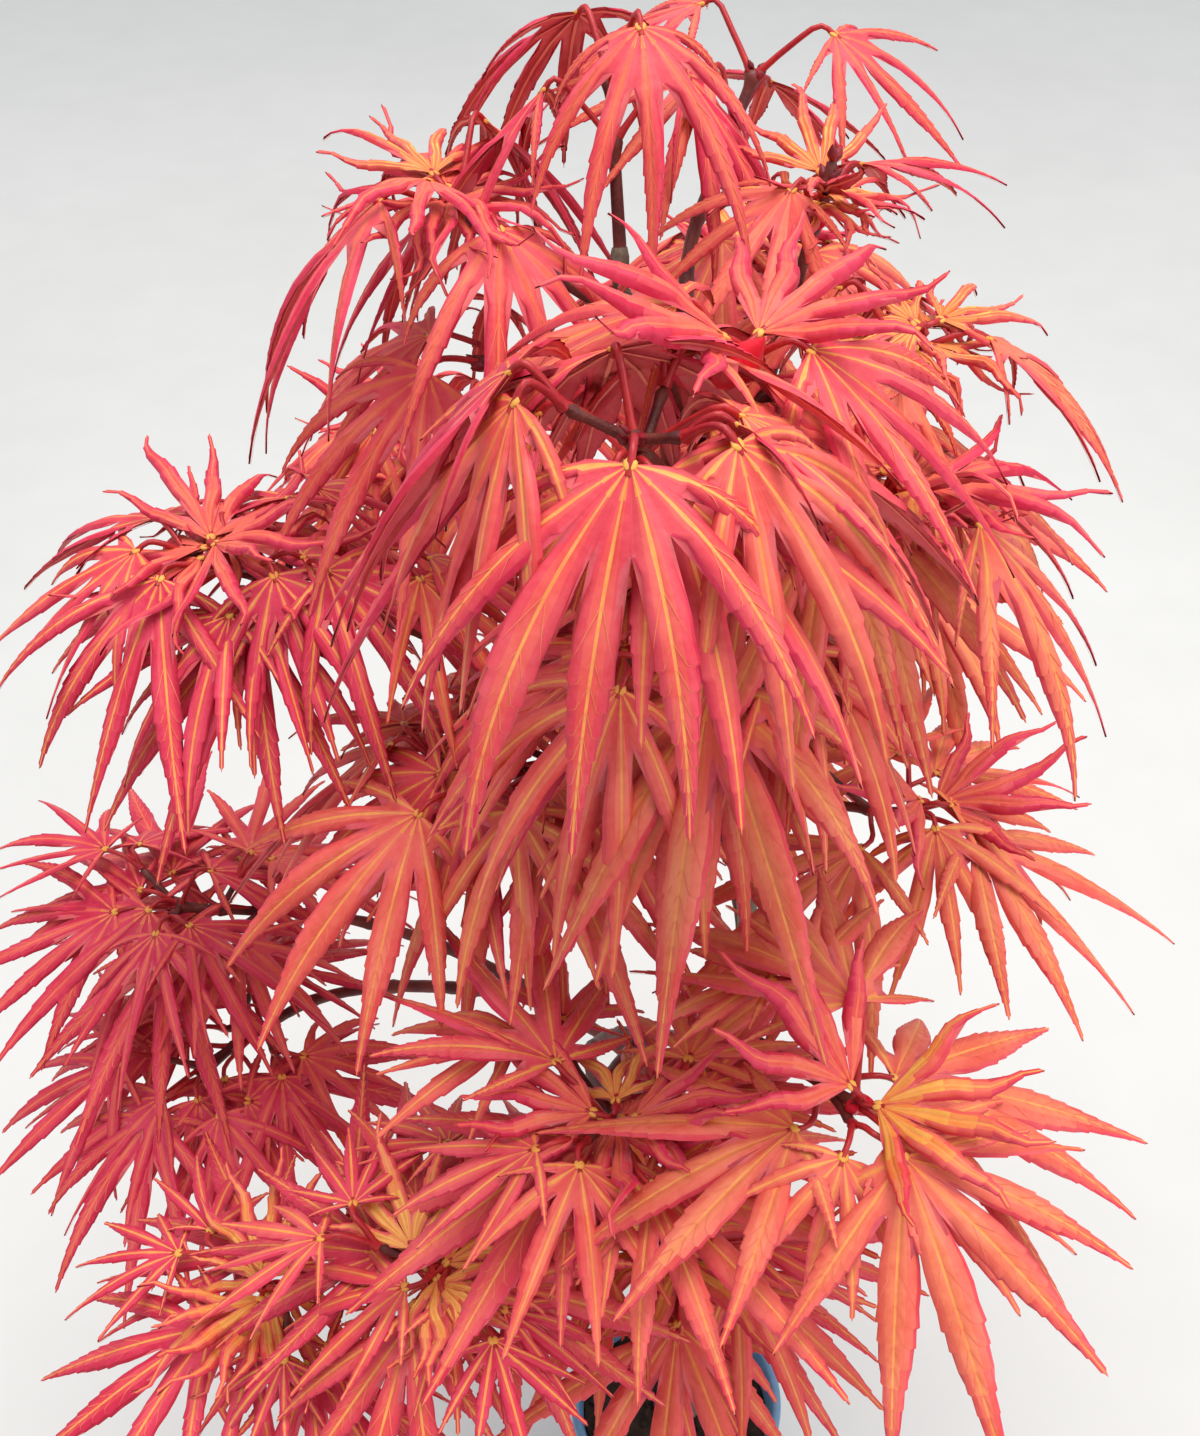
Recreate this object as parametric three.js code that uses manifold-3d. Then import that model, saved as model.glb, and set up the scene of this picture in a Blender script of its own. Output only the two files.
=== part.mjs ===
// A young Japanese maple with narrow, deeply cut coral leaves, growing in a small blue pot.
// Millimetres, +Z up. The origin is the middle of the pot's flat underside, +X is right and
// +Y points away from the side that the tree is seen from.
import * as THREE from "three";
import { mergeVertices } from "three/addons/utils/BufferGeometryUtils.js";
import Module from "manifold-3d";

// Pot and compost
const POT_HEIGHT = 74;
const POT_RIM_RADIUS = 36;
const POT_FOOT_RADIUS = 27;
const POT_WALL = 1.6;
const POT_LIP = 2.2;
const POT_LIP_HEIGHT = 7;
const POT_SIDES = 20;
const DRAIN_HOLES = 4;
const DRAIN_RADIUS = 2.6;
const DRAIN_CIRCLE = 17;
const COMPOST_TOP = 63;
const COMPOST_CROWN = 1.5;

// Pieces that meet stand this far apart
const CLEAR = 0.3;

// Trunk: places on its middle line, which starts below the flat cut at ground level and runs on
// to the topmost shoot, and its radius from the root flare to the tip
const GROUND = COMPOST_TOP + COMPOST_CROWN + CLEAR;
const BELOW_CUT = 4;
const TRUNK_LINE = [
  [0, 0, GROUND - BELOW_CUT],
  [4, 6, 110],
  [13, 18, 200],
  [14, 26, 270],
  [7, 33, 345],
  [1, 37, 405],
  [-9, 46, 440],
];
const TRUNK_RADIUS = 4.0;
const TRUNK_TIP_RADIUS = 1.6;
const TRUNK_TIP_RUN = 9;
const FLARE = 3.2;
const FLARE_HEIGHT = 9;
const FLARE_RIBS = 4;

// Boughs and twigs
const BOUGH_ROOT_RADIUS = 2.1;
const BOUGH_TIP_RADIUS = 1.4;
const STEM_RADIUS = 1.7;
const PETIOLE_RADIUS = 0.85;
const HEEL = 3;
const PAIR_SPACING = 0.36;

// Leaf stalks: shortest length and how much longer they come, and how far they rise above level
// in degrees, for grown leaves and for the young ones at a shoot's tip
const PETIOLE = [13, 9];
const PETIOLE_LIFT = 10;
const YOUNG_PETIOLE = [7, 4];
const YOUNG_LIFT = 55;
const YOUNG_SIZE = 0.6;
const YOUNG_HOLD = 0.55;
const FULL_HANG = 46;

// Leaves: thickness at a lobe's midrib, and how many times longer than half its width a lobe is
const LEAF_THICK = 1.0;
const SLENDERNESS = 13;
const SINUS = 0.18;
const WIDEST = 0.42;
const WAIST = 0.74;
const WAIST_WIDTH = 0.66;
const NECK_WIDTH = 0.55;
const BENT_LOBES = 30;

// Each lobe of a leaf: its angle from the middle lobe in degrees, and its share of the length
const LOBES = [
  [0, 1],
  [26, 0.95],
  [-26, 0.95],
  [54, 0.8],
  [-54, 0.8],
  [88, 0.46],
  [-88, 0.46],
];

// Masses of leaves. For each: the tip of its shoot; the way the shoot points, as a turn from +X
// and a rise above level; the shoot's length; its pairs of leaves and the turn of the outermost
// pair; the length of a middle lobe; how far the leaves hang; the young pairs at its tip; its
// seed; the limb that its bough springs from, and where along that limb.
const MASSES = [
  ["front_crown", [-4, -12, 474], 300, 50, 24, 1, 335, 58, 0.6, 1, 18, "trunk", 0.819],
  ["front", [-21, -40, 478], 255, 42, 24, 2, 265, 62, 0.75, 0, 19, "front_crown", 0.5],
  ["shoulder_left", [-54, 52, 472], 170, 30, 30, 2, 225, 55, 0.95, 1, 14, "trunk", 0.875],
  ["crest", [-24, 66, 492], 100, 68, 30, 2, 285, 54, 0.95, 0, 12, "trunk", 1],
  ["right", [26, 0, 440], 315, 12, 26, 3, 310, 56, 0.8, 1, 20, "trunk", 0.782],
  ["heart", [-6, -14, 414], 275, 25, 24, 3, 280, 62, 0.75, 0, 21, "trunk", 0.717],
  ["low_right", [22, -70, 352], 300, 30, 28, 2, 292, 56, 0.25, 1, 30, "trunk", 0.466],
  ["low_front", [-24, -64, 336], 280, 30, 24, 2, 300, 50, 0.25, 1, 29, "trunk", 0.41],
  ["left", [-104, 28, 404], 175, 20, 34, 3, 250, 56, 0.65, 1, 22, "trunk", 0.596],
  ["middle_left", [-50, 0, 368], 220, 15, 26, 3, 235, 58, 0.6, 0, 23, "trunk", 0.642],
  ["low_middle", [-58, -80, 308], 235, 15, 26, 2, 250, 42, 0.3, 1, 28, "low_front", 0.55],
  ["low_left", [-94, -74, 288], 200, 5, 26, 2, 215, 45, 0.3, 1, 27, "low_middle", 0.5],
  ["low_centre", [-12, -62, 288], 285, 5, 24, 2, 260, 52, 0.4, 1, 35, "low_front", 0.35],
  ["right_low", [46, 14, 344], 340, 10, 26, 2, 320, 56, 0.4, 1, 24, "trunk", 0.633],
  ["shoulder_right", [16, 52, 470], 50, 68, 30, 1, 60, 40, 0.5, 1, 16, "trunk", 0.894],
  ["right_upper", [32, 30, 453], 345, 24, 22, 2, 350, 42, 0.85, 1, 17, "trunk", 0.838],
  ["left_upper", [-50, 44, 444], 200, 12, 24, 2, 240, 54, 0.8, 0, 15, "trunk", 0.857],
  ["crest_right", [6, 92, 484], 50, 55, 28, 2, 330, 42, 0.5, 0, 13, "trunk", 0.912],
  ["far_left", [-138, 34, 288], 190, 15, 30, 3, 200, 52, 0.4, 0, 25, "trunk", 0.335],
  ["far_left_low", [-130, 2, 262], 225, 5, 26, 3, 250, 52, 0.5, 0, 26, "far_left", 0.5],
  ["rear", [10, 124, 424], 90, 35, 30, 2, 60, 56, 0.7, 1, 31, "trunk", 0.735],
  ["rear_right", [46, 96, 370], 50, 25, 30, 3, 20, 56, 0.6, 0, 32, "trunk", 0.605],
  ["rear_left", [-66, 104, 384], 135, 25, 30, 2, 120, 56, 0.6, 1, 33, "trunk", 0.652],
  ["rear_low", [6, 104, 300], 95, 10, 30, 2, 90, 56, 0.4, 0, 34, "trunk", 0.503],
];

const DOWN = new THREE.Vector3(0, 0, -1);

const wasm = await Module();
wasm.setup();

// A three.js geometry as a solid that can be joined and cut
function solid(geometry) {
  const bare = geometry.clone();
  bare.deleteAttribute("normal");
  bare.deleteAttribute("uv");
  const merged = mergeVertices(bare, 1e-4);
  return new wasm.Manifold(
    new wasm.Mesh({
      numProp: 3,
      vertProperties: merged.attributes.position.array,
      triVerts: new Uint32Array(merged.index.array),
    }),
  );
}

// A solid as a named mesh with its own material
function piece(name, body, colour, roughness) {
  const mesh = body.getMesh();
  const geometry = new THREE.BufferGeometry();
  geometry.setAttribute("position", new THREE.BufferAttribute(mesh.vertProperties, 3));
  geometry.setIndex(new THREE.BufferAttribute(mesh.triVerts, 1));
  geometry.computeVertexNormals();
  const material = new THREE.MeshStandardMaterial({ color: colour, roughness, metalness: 0 });
  const made = new THREE.Mesh(geometry, material);
  made.name = name;
  return made;
}

// The largest body of a solid, without the scraps that a cut can leave
function largest(body) {
  return body.decompose().sort((a, b) => b.volume() - a.volume())[0];
}

// Seeded numbers from 0 to 1, and from -reach to reach
class Chance {
  constructor(seed) {
    this.state = Math.imul(seed, 2654435761) >>> 0;
    this.next();
    this.next();
  }
  next() {
    this.state = (Math.imul(this.state, 1664525) + 1013904223) >>> 0;
    return this.state / 4294967296;
  }
  spread(reach) {
    return (2 * this.next() - 1) * reach;
  }
}

// The direction that is turned from +X and rises above level, both in degrees
function aim(turn, rise) {
  const a = THREE.MathUtils.degToRad(turn);
  const b = THREE.MathUtils.degToRad(rise);
  return new THREE.Vector3(Math.cos(a) * Math.cos(b), Math.sin(a) * Math.cos(b), Math.sin(b));
}

// The place at a distance from a point along a direction
function along(point, direction, distance) {
  return point.clone().addScaledVector(direction, distance);
}

// A closed limb round a curve: a cylinder bent along it, with its radius given by a function of
// the share of the length and the angle round the limb
function limb(curve, radiusAt, sides, steps) {
  const frames = curve.computeFrenetFrames(steps, false);
  const geometry = new THREE.CylinderGeometry(1, 1, 1, sides, steps);
  const position = geometry.attributes.position;
  const vertex = new THREE.Vector3();
  for (let i = 0; i < position.count; i++) {
    vertex.fromBufferAttribute(position, i);
    const row = Math.round((vertex.y + 0.5) * steps);
    const radius = radiusAt(row / steps, Math.atan2(vertex.z, vertex.x));
    const place = curve.getPointAt(row / steps);
    place.addScaledVector(frames.normals[row], vertex.x * radius);
    place.addScaledVector(frames.binormals[row], -vertex.z * radius);
    position.setXYZ(i, place.x, place.y, place.z);
  }
  return solid(geometry);
}

// Pot: a tapering wall with a rolled lip, a flat underside and drain holes round the middle
function makePot() {
  const lipFoot = POT_HEIGHT - POT_LIP_HEIGHT;
  const profile = [
    [0, 0],
    [POT_FOOT_RADIUS, 0],
    [POT_RIM_RADIUS - POT_LIP, lipFoot],
    [POT_RIM_RADIUS, lipFoot + 1],
    [POT_RIM_RADIUS, POT_HEIGHT - 0.8],
    [POT_RIM_RADIUS - 0.8, POT_HEIGHT],
    [POT_RIM_RADIUS - POT_LIP, POT_HEIGHT],
    [POT_RIM_RADIUS - POT_LIP - POT_WALL, lipFoot],
    [POT_FOOT_RADIUS - POT_WALL, POT_WALL],
    [0, POT_WALL],
  ];
  const points = profile.map(([radius, height]) => new THREE.Vector2(radius, height));
  let pot = solid(new THREE.LatheGeometry(points, POT_SIDES).rotateX(Math.PI / 2));
  for (let i = 0; i < DRAIN_HOLES; i++) {
    const place = along(new THREE.Vector3(0, 0, POT_WALL / 2), aim((360 * i) / DRAIN_HOLES, 0), DRAIN_CIRCLE);
    const hole = new THREE.CylinderGeometry(DRAIN_RADIUS, DRAIN_RADIUS, 3 * POT_WALL, 8);
    hole.rotateX(Math.PI / 2).translate(place.x, place.y, place.z);
    pot = pot.subtract(solid(hole));
  }
  return pot;
}

// Compost: fills the pot to below its lip, clear of the wall, and rises a little to the trunk
function makeCompost() {
  const foot = POT_WALL + CLEAR;
  const taper = (POT_RIM_RADIUS - POT_LIP - POT_FOOT_RADIUS) / (POT_HEIGHT - POT_LIP_HEIGHT - POT_WALL);
  const footRadius = POT_FOOT_RADIUS - POT_WALL - CLEAR * 1.2;
  const topRadius = footRadius + taper * (COMPOST_TOP - foot);
  const profile = [
    [0, foot],
    [footRadius, foot],
    [topRadius, COMPOST_TOP],
    [topRadius * 0.5, COMPOST_TOP + COMPOST_CROWN * 0.7],
    [TRUNK_RADIUS + FLARE + 1, COMPOST_TOP + COMPOST_CROWN],
    [0, COMPOST_TOP + COMPOST_CROWN],
  ];
  const points = profile.map(([radius, height]) => new THREE.Vector2(radius, height));
  return solid(new THREE.LatheGeometry(points, POT_SIDES).rotateX(Math.PI / 2));
}

// The way that a mass's shoot points, and where the shoot starts
function shootOf([, tip, turn, rise, stem]) {
  const head = aim(turn, rise);
  const end = new THREE.Vector3(...tip);
  return { head, end, start: along(end, head, -stem) };
}

// Trunk: its curve, which ends just short of the shoot that grows on from its tip, and its
// radius, with the root flare's ribs at the foot
const leader = shootOf(MASSES.find((row) => row[12] === 1));
const trunkPlaces = TRUNK_LINE.map((place) => new THREE.Vector3(...place));
trunkPlaces.push(along(leader.start, leader.head, -TRUNK_TIP_RUN));
trunkPlaces.push(along(leader.start, leader.head, -CLEAR));
const trunkCurve = new THREE.CatmullRomCurve3(trunkPlaces);

function trunkRadius(share, angle) {
  const height = Math.max(0, share * trunkCurve.getLength() - BELOW_CUT);
  const flare = FLARE * Math.exp(-height / FLARE_HEIGHT) * (1 + 0.25 * Math.cos(FLARE_RIBS * angle));
  return THREE.MathUtils.lerp(TRUNK_RADIUS, TRUNK_TIP_RADIUS, share) + flare;
}

// A bough's curve: it leaves its limb sideways and upwards, and ends just short of its shoot
function boughCurve(root, limbWay, shoot) {
  const tip = along(shoot.start, shoot.head, -CLEAR);
  const span = tip.distanceTo(root);
  const sideways = tip.clone().sub(root).normalize();
  const leave = limbWay.clone().multiplyScalar(0.6).add(sideways).normalize();
  return new THREE.CubicBezierCurve3(
    root,
    along(root, leave, span * 0.35),
    along(tip, shoot.head, -span * 0.3),
    tip,
  );
}

function boughRadius(share) {
  return THREE.MathUtils.lerp(BOUGH_ROOT_RADIUS, BOUGH_TIP_RADIUS, share);
}

// A leaf of the seeded rule: where its stalk ends, how its blade lies, and each lobe's start
// direction, bend towards the ground, length and roll
function ruleLeaf(chance, node, head, turn, size, droop, lift, petiole, count) {
  const stalk = aim(turn, lift).multiplyScalar(0.8).addScaledVector(head, 0.5).normalize();
  const base = along(node, stalk, petiole);
  const pitch = FULL_HANG * droop - 0.5 * lift + chance.spread(12);
  const bladeTurn = turn + chance.spread(16);
  const axis = aim(bladeTurn, -pitch);
  const tilt = THREE.MathUtils.degToRad(chance.spread(20));
  const face = aim(bladeTurn, 90 - pitch).applyAxisAngle(axis, tilt);
  const side = face.clone().cross(axis);
  const length = size * (1 + chance.spread(0.1));
  const lobes = LOBES.slice(0, count).map(([fan, share]) => {
    const angle = THREE.MathUtils.degToRad(fan + chance.spread(3.5));
    const way = axis.clone().multiplyScalar(Math.cos(angle)).addScaledVector(side, Math.sin(angle));
    way.addScaledVector(face, chance.spread(0.12)).normalize();
    const give = THREE.MathUtils.clamp(0.08 + 0.72 * droop + chance.spread(0.16), 0.02, 0.95);
    const roll = THREE.MathUtils.degToRad(chance.spread(14 + 26 * droop));
    const reach = length * share * (1 + chance.spread(0.1));
    return { fan, way, bend: way.angleTo(DOWN) * give, roll, reach };
  });
  return { node, base, axis, face, lobes, width: 1 - 0.3 * droop, young: count < LOBES.length };
}

// The leaves of a mass: opposite pairs, each turned a quarter from the last, then the young ones
function ruleLeaves(row) {
  const [, , , , stem, pairs, leafTurn, size, droop, young, seed] = row;
  const { head, end, start } = shootOf(row);
  const chance = new Chance(seed);
  const leaves = [];
  for (let pair = 0; pair < pairs; pair++) {
    const node = along(start, head, stem * (1 - PAIR_SPACING * (pairs - 1 - pair)));
    for (const side of [0, 180]) {
      const turn = leafTurn + 90 * (pairs - 1 - pair) + side + chance.spread(16);
      const petiole = PETIOLE[0] + PETIOLE[1] * chance.next();
      leaves.push(ruleLeaf(chance, node, head, turn, size, droop, PETIOLE_LIFT, petiole, 7));
    }
  }
  for (const side of young ? [0, 180] : []) {
    const turn = leafTurn + 45 + side + chance.spread(20);
    const petiole = YOUNG_PETIOLE[0] + YOUNG_PETIOLE[1] * chance.next();
    const hang = Math.max(0, droop - YOUNG_HOLD);
    leaves.push(ruleLeaf(chance, end, head, turn, size * YOUNG_SIZE, hang, YOUNG_LIFT, petiole, 5));
  }
  return leaves;
}

// A place on a lobe's midrib, with the directions across the lobe and out of its upper face. The
// midrib is an arc from the lobe's own direction towards the ground.
function onLobe(leaf, lobe, share) {
  const fall = DOWN.clone().addScaledVector(lobe.way, -DOWN.dot(lobe.way)).normalize();
  const bend = Math.max(lobe.bend, 1e-6);
  const place = along(leaf.base, lobe.way, (lobe.reach * Math.sin(bend * share)) / bend);
  place.addScaledVector(fall, (lobe.reach * (1 - Math.cos(bend * share))) / bend);
  const hinge = lobe.way.clone().cross(fall).normalize();
  const across = leaf.face.clone().cross(lobe.way).normalize();
  across.applyAxisAngle(lobe.way, lobe.roll * Math.min(1, share / WIDEST));
  across.applyAxisAngle(hinge, bend * share);
  const forward = lobe.way.clone().applyAxisAngle(hinge, bend * share);
  return { place, across, out: forward.cross(across) };
}

// The three corners of a stalk's section at a place: left, right and below
function stalkSection(place, ahead, behind, side, grow) {
  const way = ahead.clone().sub(behind).normalize();
  const left = side.clone().addScaledVector(way, -side.dot(way)).normalize();
  const below = left.clone().cross(way);
  const radius = PETIOLE_RADIUS + grow;
  const upper = along(place, below, -0.5 * radius);
  return [
    along(upper, left, 0.87 * radius),
    along(upper, left, -0.87 * radius),
    along(place, below, radius),
  ];
}

// A leaf as one closed solid: a three-sided stalk that opens at the heel into a fan of lobes,
// raised along each midrib and flat below. Without its stalk the fan closes to a point behind
// the heel. grow makes it larger all round, to test the space about it.
function leafSolid(leaf, lobes, grow, hasStalk) {
  const points = [];
  const faces = [];
  const put = (place) => points.push(place.x, place.y, place.z) / 3 - 1;
  const thick = LEAF_THICK + grow;
  const top = put(along(leaf.base, leaf.face, 0.6 * LEAF_THICK + grow));
  const under = put(along(leaf.base, leaf.face, -0.6 * LEAF_THICK - grow));
  const ordered = [...lobes].sort((a, b) => a.fan - b.fan);
  const edge = (lobe, share, width, side) => {
    const at = onLobe(leaf, lobe, share);
    const half = (lobe.reach / SLENDERNESS) * leaf.width * width + grow;
    return along(at.place, at.across, side * half).addScaledVector(at.out, -grow);
  };
  const rib = (lobe, share) => {
    const at = onLobe(leaf, lobe, share);
    return put(along(at.place, at.out, thick * (share > WIDEST ? 0.85 : 1)));
  };
  const sinuses = ordered.slice(1).map((lobe, i) => {
    const right = onLobe(leaf, ordered[i], SINUS).place;
    return put(right.add(onLobe(leaf, lobe, SINUS).place).multiplyScalar(0.5));
  });
  sinuses.unshift(put(edge(ordered[0], SINUS, NECK_WIDTH, -1)));
  sinuses.push(put(edge(ordered[ordered.length - 1], SINUS, NECK_WIDTH, 1)));
  ordered.forEach((lobe, i) => {
    const [right, left] = [sinuses[i], sinuses[i + 1]];
    const [wideRight, wideLeft] = [-1, 1].map((side) => put(edge(lobe, WIDEST, 1, side)));
    const tip = put(onLobe(leaf, lobe, 1 + grow / lobe.reach).place);
    const ridge = rib(lobe, WIDEST);
    faces.push(top, right, ridge, right, wideRight, ridge, top, ridge, left, ridge, wideLeft, left);
    faces.push(under, wideRight, right, under, wideLeft, wideRight, under, left, wideLeft);
    if (Math.abs(lobe.fan) > BENT_LOBES || leaf.young) {
      faces.push(wideRight, tip, ridge, ridge, tip, wideLeft, tip, wideRight, wideLeft);
      return;
    }
    const [waistRight, waistLeft] = [-1, 1].map((side) => put(edge(lobe, WAIST, WAIST_WIDTH, side)));
    const crease = rib(lobe, WAIST);
    faces.push(wideRight, waistRight, crease, wideRight, crease, ridge);
    faces.push(ridge, crease, waistLeft, ridge, waistLeft, wideLeft);
    faces.push(waistRight, tip, crease, crease, tip, waistLeft);
    faces.push(wideRight, wideLeft, waistLeft, wideRight, waistLeft, waistRight);
    faces.push(waistRight, waistLeft, tip);
  });
  const [first, last] = [sinuses[0], sinuses[sinuses.length - 1]];
  const heel = along(leaf.base, leaf.axis, -HEEL - (hasStalk ? 0 : grow));
  if (hasStalk) {
    const side = leaf.face.clone().cross(leaf.axis);
    const [heelLeft, heelRight, heelUnder] = stalkSection(heel, leaf.base, leaf.node, side, grow).map(put);
    const [rootLeft, rootRight, rootUnder] = stalkSection(leaf.node, heel, leaf.node, side, grow).map(put);
    faces.push(top, last, heelLeft, top, heelLeft, heelRight, top, heelRight, first);
    faces.push(under, first, heelRight, under, heelRight, heelUnder);
    faces.push(under, heelUnder, heelLeft, under, heelLeft, last);
    faces.push(heelLeft, rootLeft, rootRight, heelLeft, rootRight, heelRight);
    faces.push(heelRight, rootRight, rootUnder, heelRight, rootUnder, heelUnder);
    faces.push(rootLeft, heelLeft, heelUnder, rootLeft, heelUnder, rootUnder);
    faces.push(rootRight, rootLeft, rootUnder);
  } else {
    const point = put(heel);
    faces.push(top, point, first, top, last, point, under, first, point, under, point, last);
  }
  const geometry = new THREE.BufferGeometry();
  geometry.setAttribute("position", new THREE.Float32BufferAttribute(points, 3));
  geometry.setIndex(faces);
  return solid(geometry);
}

// Whether two boxes overlap
function boxesMeet(a, b) {
  return [0, 1, 2].every((i) => a.min[i] < b.max[i] && b.min[i] < a.max[i]);
}

// Whether a solid touches none of the others
function isFree(body, others) {
  const box = body.boundingBox();
  return others.every((other) => !boxesMeet(box, other.boundingBox()) || body.intersect(other).isEmpty());
}

// How a lobe gives way to what is there already: more or less bend, a turn aside, or a shorter lobe
const GIVE = [
  [0, 0, 1],
  [0.12, 0, 1],
  [-0.12, 0, 1],
  [0, 5, 1],
  [0, -5, 1],
  [0.25, 0, 0.95],
  [-0.25, 0, 0.95],
  [0.2, 5, 0.85],
  [-0.2, -5, 0.85],
  [0, 0, 0.75],
  [0, 0, 0.55],
];

function giveWay(leaf, lobe, taken) {
  for (const [bend, turn, share] of GIVE) {
    const way = lobe.way.clone().applyAxisAngle(leaf.face, THREE.MathUtils.degToRad(turn));
    const tried = { ...lobe, way, bend: Math.max(0, lobe.bend + bend), reach: lobe.reach * share };
    if (isFree(leafSolid(leaf, [tried], CLEAR, false), taken)) return tried;
  }
  return null;
}

// How a whole leaf gives way: it turns round its shoot, in degrees
const TURN_ASIDE = [0, 12, -12, 24, -24, 36, -36];

function turnLeaf(leaf, head, degrees) {
  const angle = THREE.MathUtils.degToRad(degrees);
  const turned = (way) => way.clone().applyAxisAngle(head, angle);
  const stalk = turned(leaf.base.clone().sub(leaf.node));
  const lobes = leaf.lobes.map((lobe) => ({ ...lobe, way: turned(lobe.way) }));
  return { ...leaf, base: stalk.add(leaf.node), axis: turned(leaf.axis), face: turned(leaf.face), lobes };
}

// A leaf on its stalk where there is room for it
function fitLeaf(ruled, head, taken, own) {
  for (const degrees of TURN_ASIDE) {
    const leaf = turnLeaf(ruled, head, degrees);
    const lobes = leaf.lobes.map((lobe) => giveWay(leaf, lobe, [...taken, ...own])).filter(Boolean);
    if (lobes.length < leaf.lobes.length - 2) continue;
    if (isFree(leafSolid(leaf, lobes, CLEAR, true), taken)) return leafSolid(leaf, lobes, 0, true);
  }
  return null;
}

// A mass: its shoot, and each leaf that finds room, fused into one solid
function makeMass(row, taken) {
  const { head, end, start } = shootOf(row);
  const shoot = limb(new THREE.LineCurve3(start, along(end, head, 2)), () => STEM_RADIUS, 3, 1);
  const leaves = [];
  for (const ruled of ruleLeaves(row)) {
    const fitted = fitLeaf(ruled, head, taken, leaves);
    if (fitted) leaves.push(fitted);
  }
  return largest(wasm.Manifold.union([shoot, ...leaves]));
}

const tree = new THREE.Group();
tree.add(piece("pot", makePot(), 0x7fa6c4, 0.45));
tree.add(piece("compost", makeCompost(), 0x3d2b20, 0.95));

const below = new THREE.CylinderGeometry(20, 20, 20, 8).rotateX(Math.PI / 2).translate(0, 0, GROUND - 10);
const trunk = limb(trunkCurve, trunkRadius, 8, 13).subtract(solid(below));
const trunkRoom = limb(trunkCurve, (share, angle) => trunkRadius(share, angle) + CLEAR, 8, 13);
tree.add(piece("trunk", trunk, 0x6f5a45, 0.8));

// Boughs, each cut clear of the limb that it springs from and of its neighbours there
const limbs = new Map([["trunk", { curve: trunkCurve, body: trunk, room: trunkRoom }]]);
for (const row of MASSES.filter((each) => each[12] < 1)) {
  const parent = limbs.get(row[11]);
  const root = parent.curve.getPointAt(row[12]);
  const curve = boughCurve(root, parent.curve.getTangentAt(row[12]), shootOf(row));
  const rooms = [...limbs.values()].map((each) => each.room);
  const body = largest(limb(curve, boughRadius, 5, 4).subtract(wasm.Manifold.union(rooms)));
  const room = limb(curve, (share) => boughRadius(share) + CLEAR, 5, 4);
  limbs.set(row[0], { curve, body, room });
  tree.add(piece("bough_" + row[0], body, 0x7a3a34, 0.6));
}

// Masses of leaves, each in the space that the limbs and the earlier masses leave
const taken = [...limbs.values()].map((each) => each.room);
for (const row of MASSES) {
  const mass = makeMass(row, taken);
  taken.push(mass);
  tree.add(piece("leaves_" + row[0], mass, 0xeb6a58, 0.55));
}

export default tree;
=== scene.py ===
# %% [markdown]
# # A young Japanese maple in a small blue pot
#
# The tree is seen from above and in front. It has a thin grey-brown trunk, red-brown twigs and
# hanging coral leaves, each cut into seven narrow, toothed lobes with a yellow midrib. The solid
# model already fixes where every limb and shoot stands, so this scene loads it first and then
# grows the fine tree over it by the same seeded rule.

# %% The frame
import math
from collections import namedtuple

import bmesh
import bpy
import numpy as np
from mathutils import Matrix, Vector, noise


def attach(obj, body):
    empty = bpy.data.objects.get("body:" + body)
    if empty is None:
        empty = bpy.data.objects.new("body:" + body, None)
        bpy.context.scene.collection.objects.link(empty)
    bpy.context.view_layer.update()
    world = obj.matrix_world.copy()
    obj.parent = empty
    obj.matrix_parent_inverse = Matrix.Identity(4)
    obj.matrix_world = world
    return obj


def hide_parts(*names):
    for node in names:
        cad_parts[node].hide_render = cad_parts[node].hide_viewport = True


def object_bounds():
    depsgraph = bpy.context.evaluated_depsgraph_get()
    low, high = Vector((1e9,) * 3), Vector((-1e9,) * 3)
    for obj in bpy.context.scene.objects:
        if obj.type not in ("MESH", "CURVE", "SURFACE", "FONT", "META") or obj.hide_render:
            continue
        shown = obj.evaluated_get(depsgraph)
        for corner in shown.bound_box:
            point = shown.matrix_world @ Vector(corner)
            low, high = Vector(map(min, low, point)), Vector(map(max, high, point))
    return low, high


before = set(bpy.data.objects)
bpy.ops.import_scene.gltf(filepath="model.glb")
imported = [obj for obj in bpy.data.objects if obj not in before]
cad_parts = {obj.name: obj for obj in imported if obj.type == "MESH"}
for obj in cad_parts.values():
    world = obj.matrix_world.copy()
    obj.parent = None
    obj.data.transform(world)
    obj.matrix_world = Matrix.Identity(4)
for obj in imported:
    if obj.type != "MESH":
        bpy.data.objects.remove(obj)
cad_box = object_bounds()
MM = 0.001
print("nodes:", len(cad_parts), "box:", [round(v, 3) for corner in cad_box for v in corner])

# %% [markdown]
# ## Sizes
#
# A few measures make this tree: its pot, the line and thickness of its stem, and the length and
# spread of its leaves. They could be read off the solid meshes, but the rule needs only the
# numbers that drive it. So the named sizes of the solids are repeated here, in millimetres, and
# the fine leaves come out where the solid ones are.

# %% Pot, trunk and boughs
POT_HEIGHT, POT_RIM, POT_FOOT, POT_WALL = 74.0, 36.0, 27.0, 1.6
POT_LIP, POT_LIP_HEIGHT = 2.2, 7.0
DRAIN_HOLES, DRAIN_RADIUS, DRAIN_CIRCLE = 4, 2.6, 17.0
COMPOST_TOP, COMPOST_CROWN = 63.0, 1.5
CLEAR = 0.3
GROUND = COMPOST_TOP + COMPOST_CROWN + CLEAR

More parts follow.
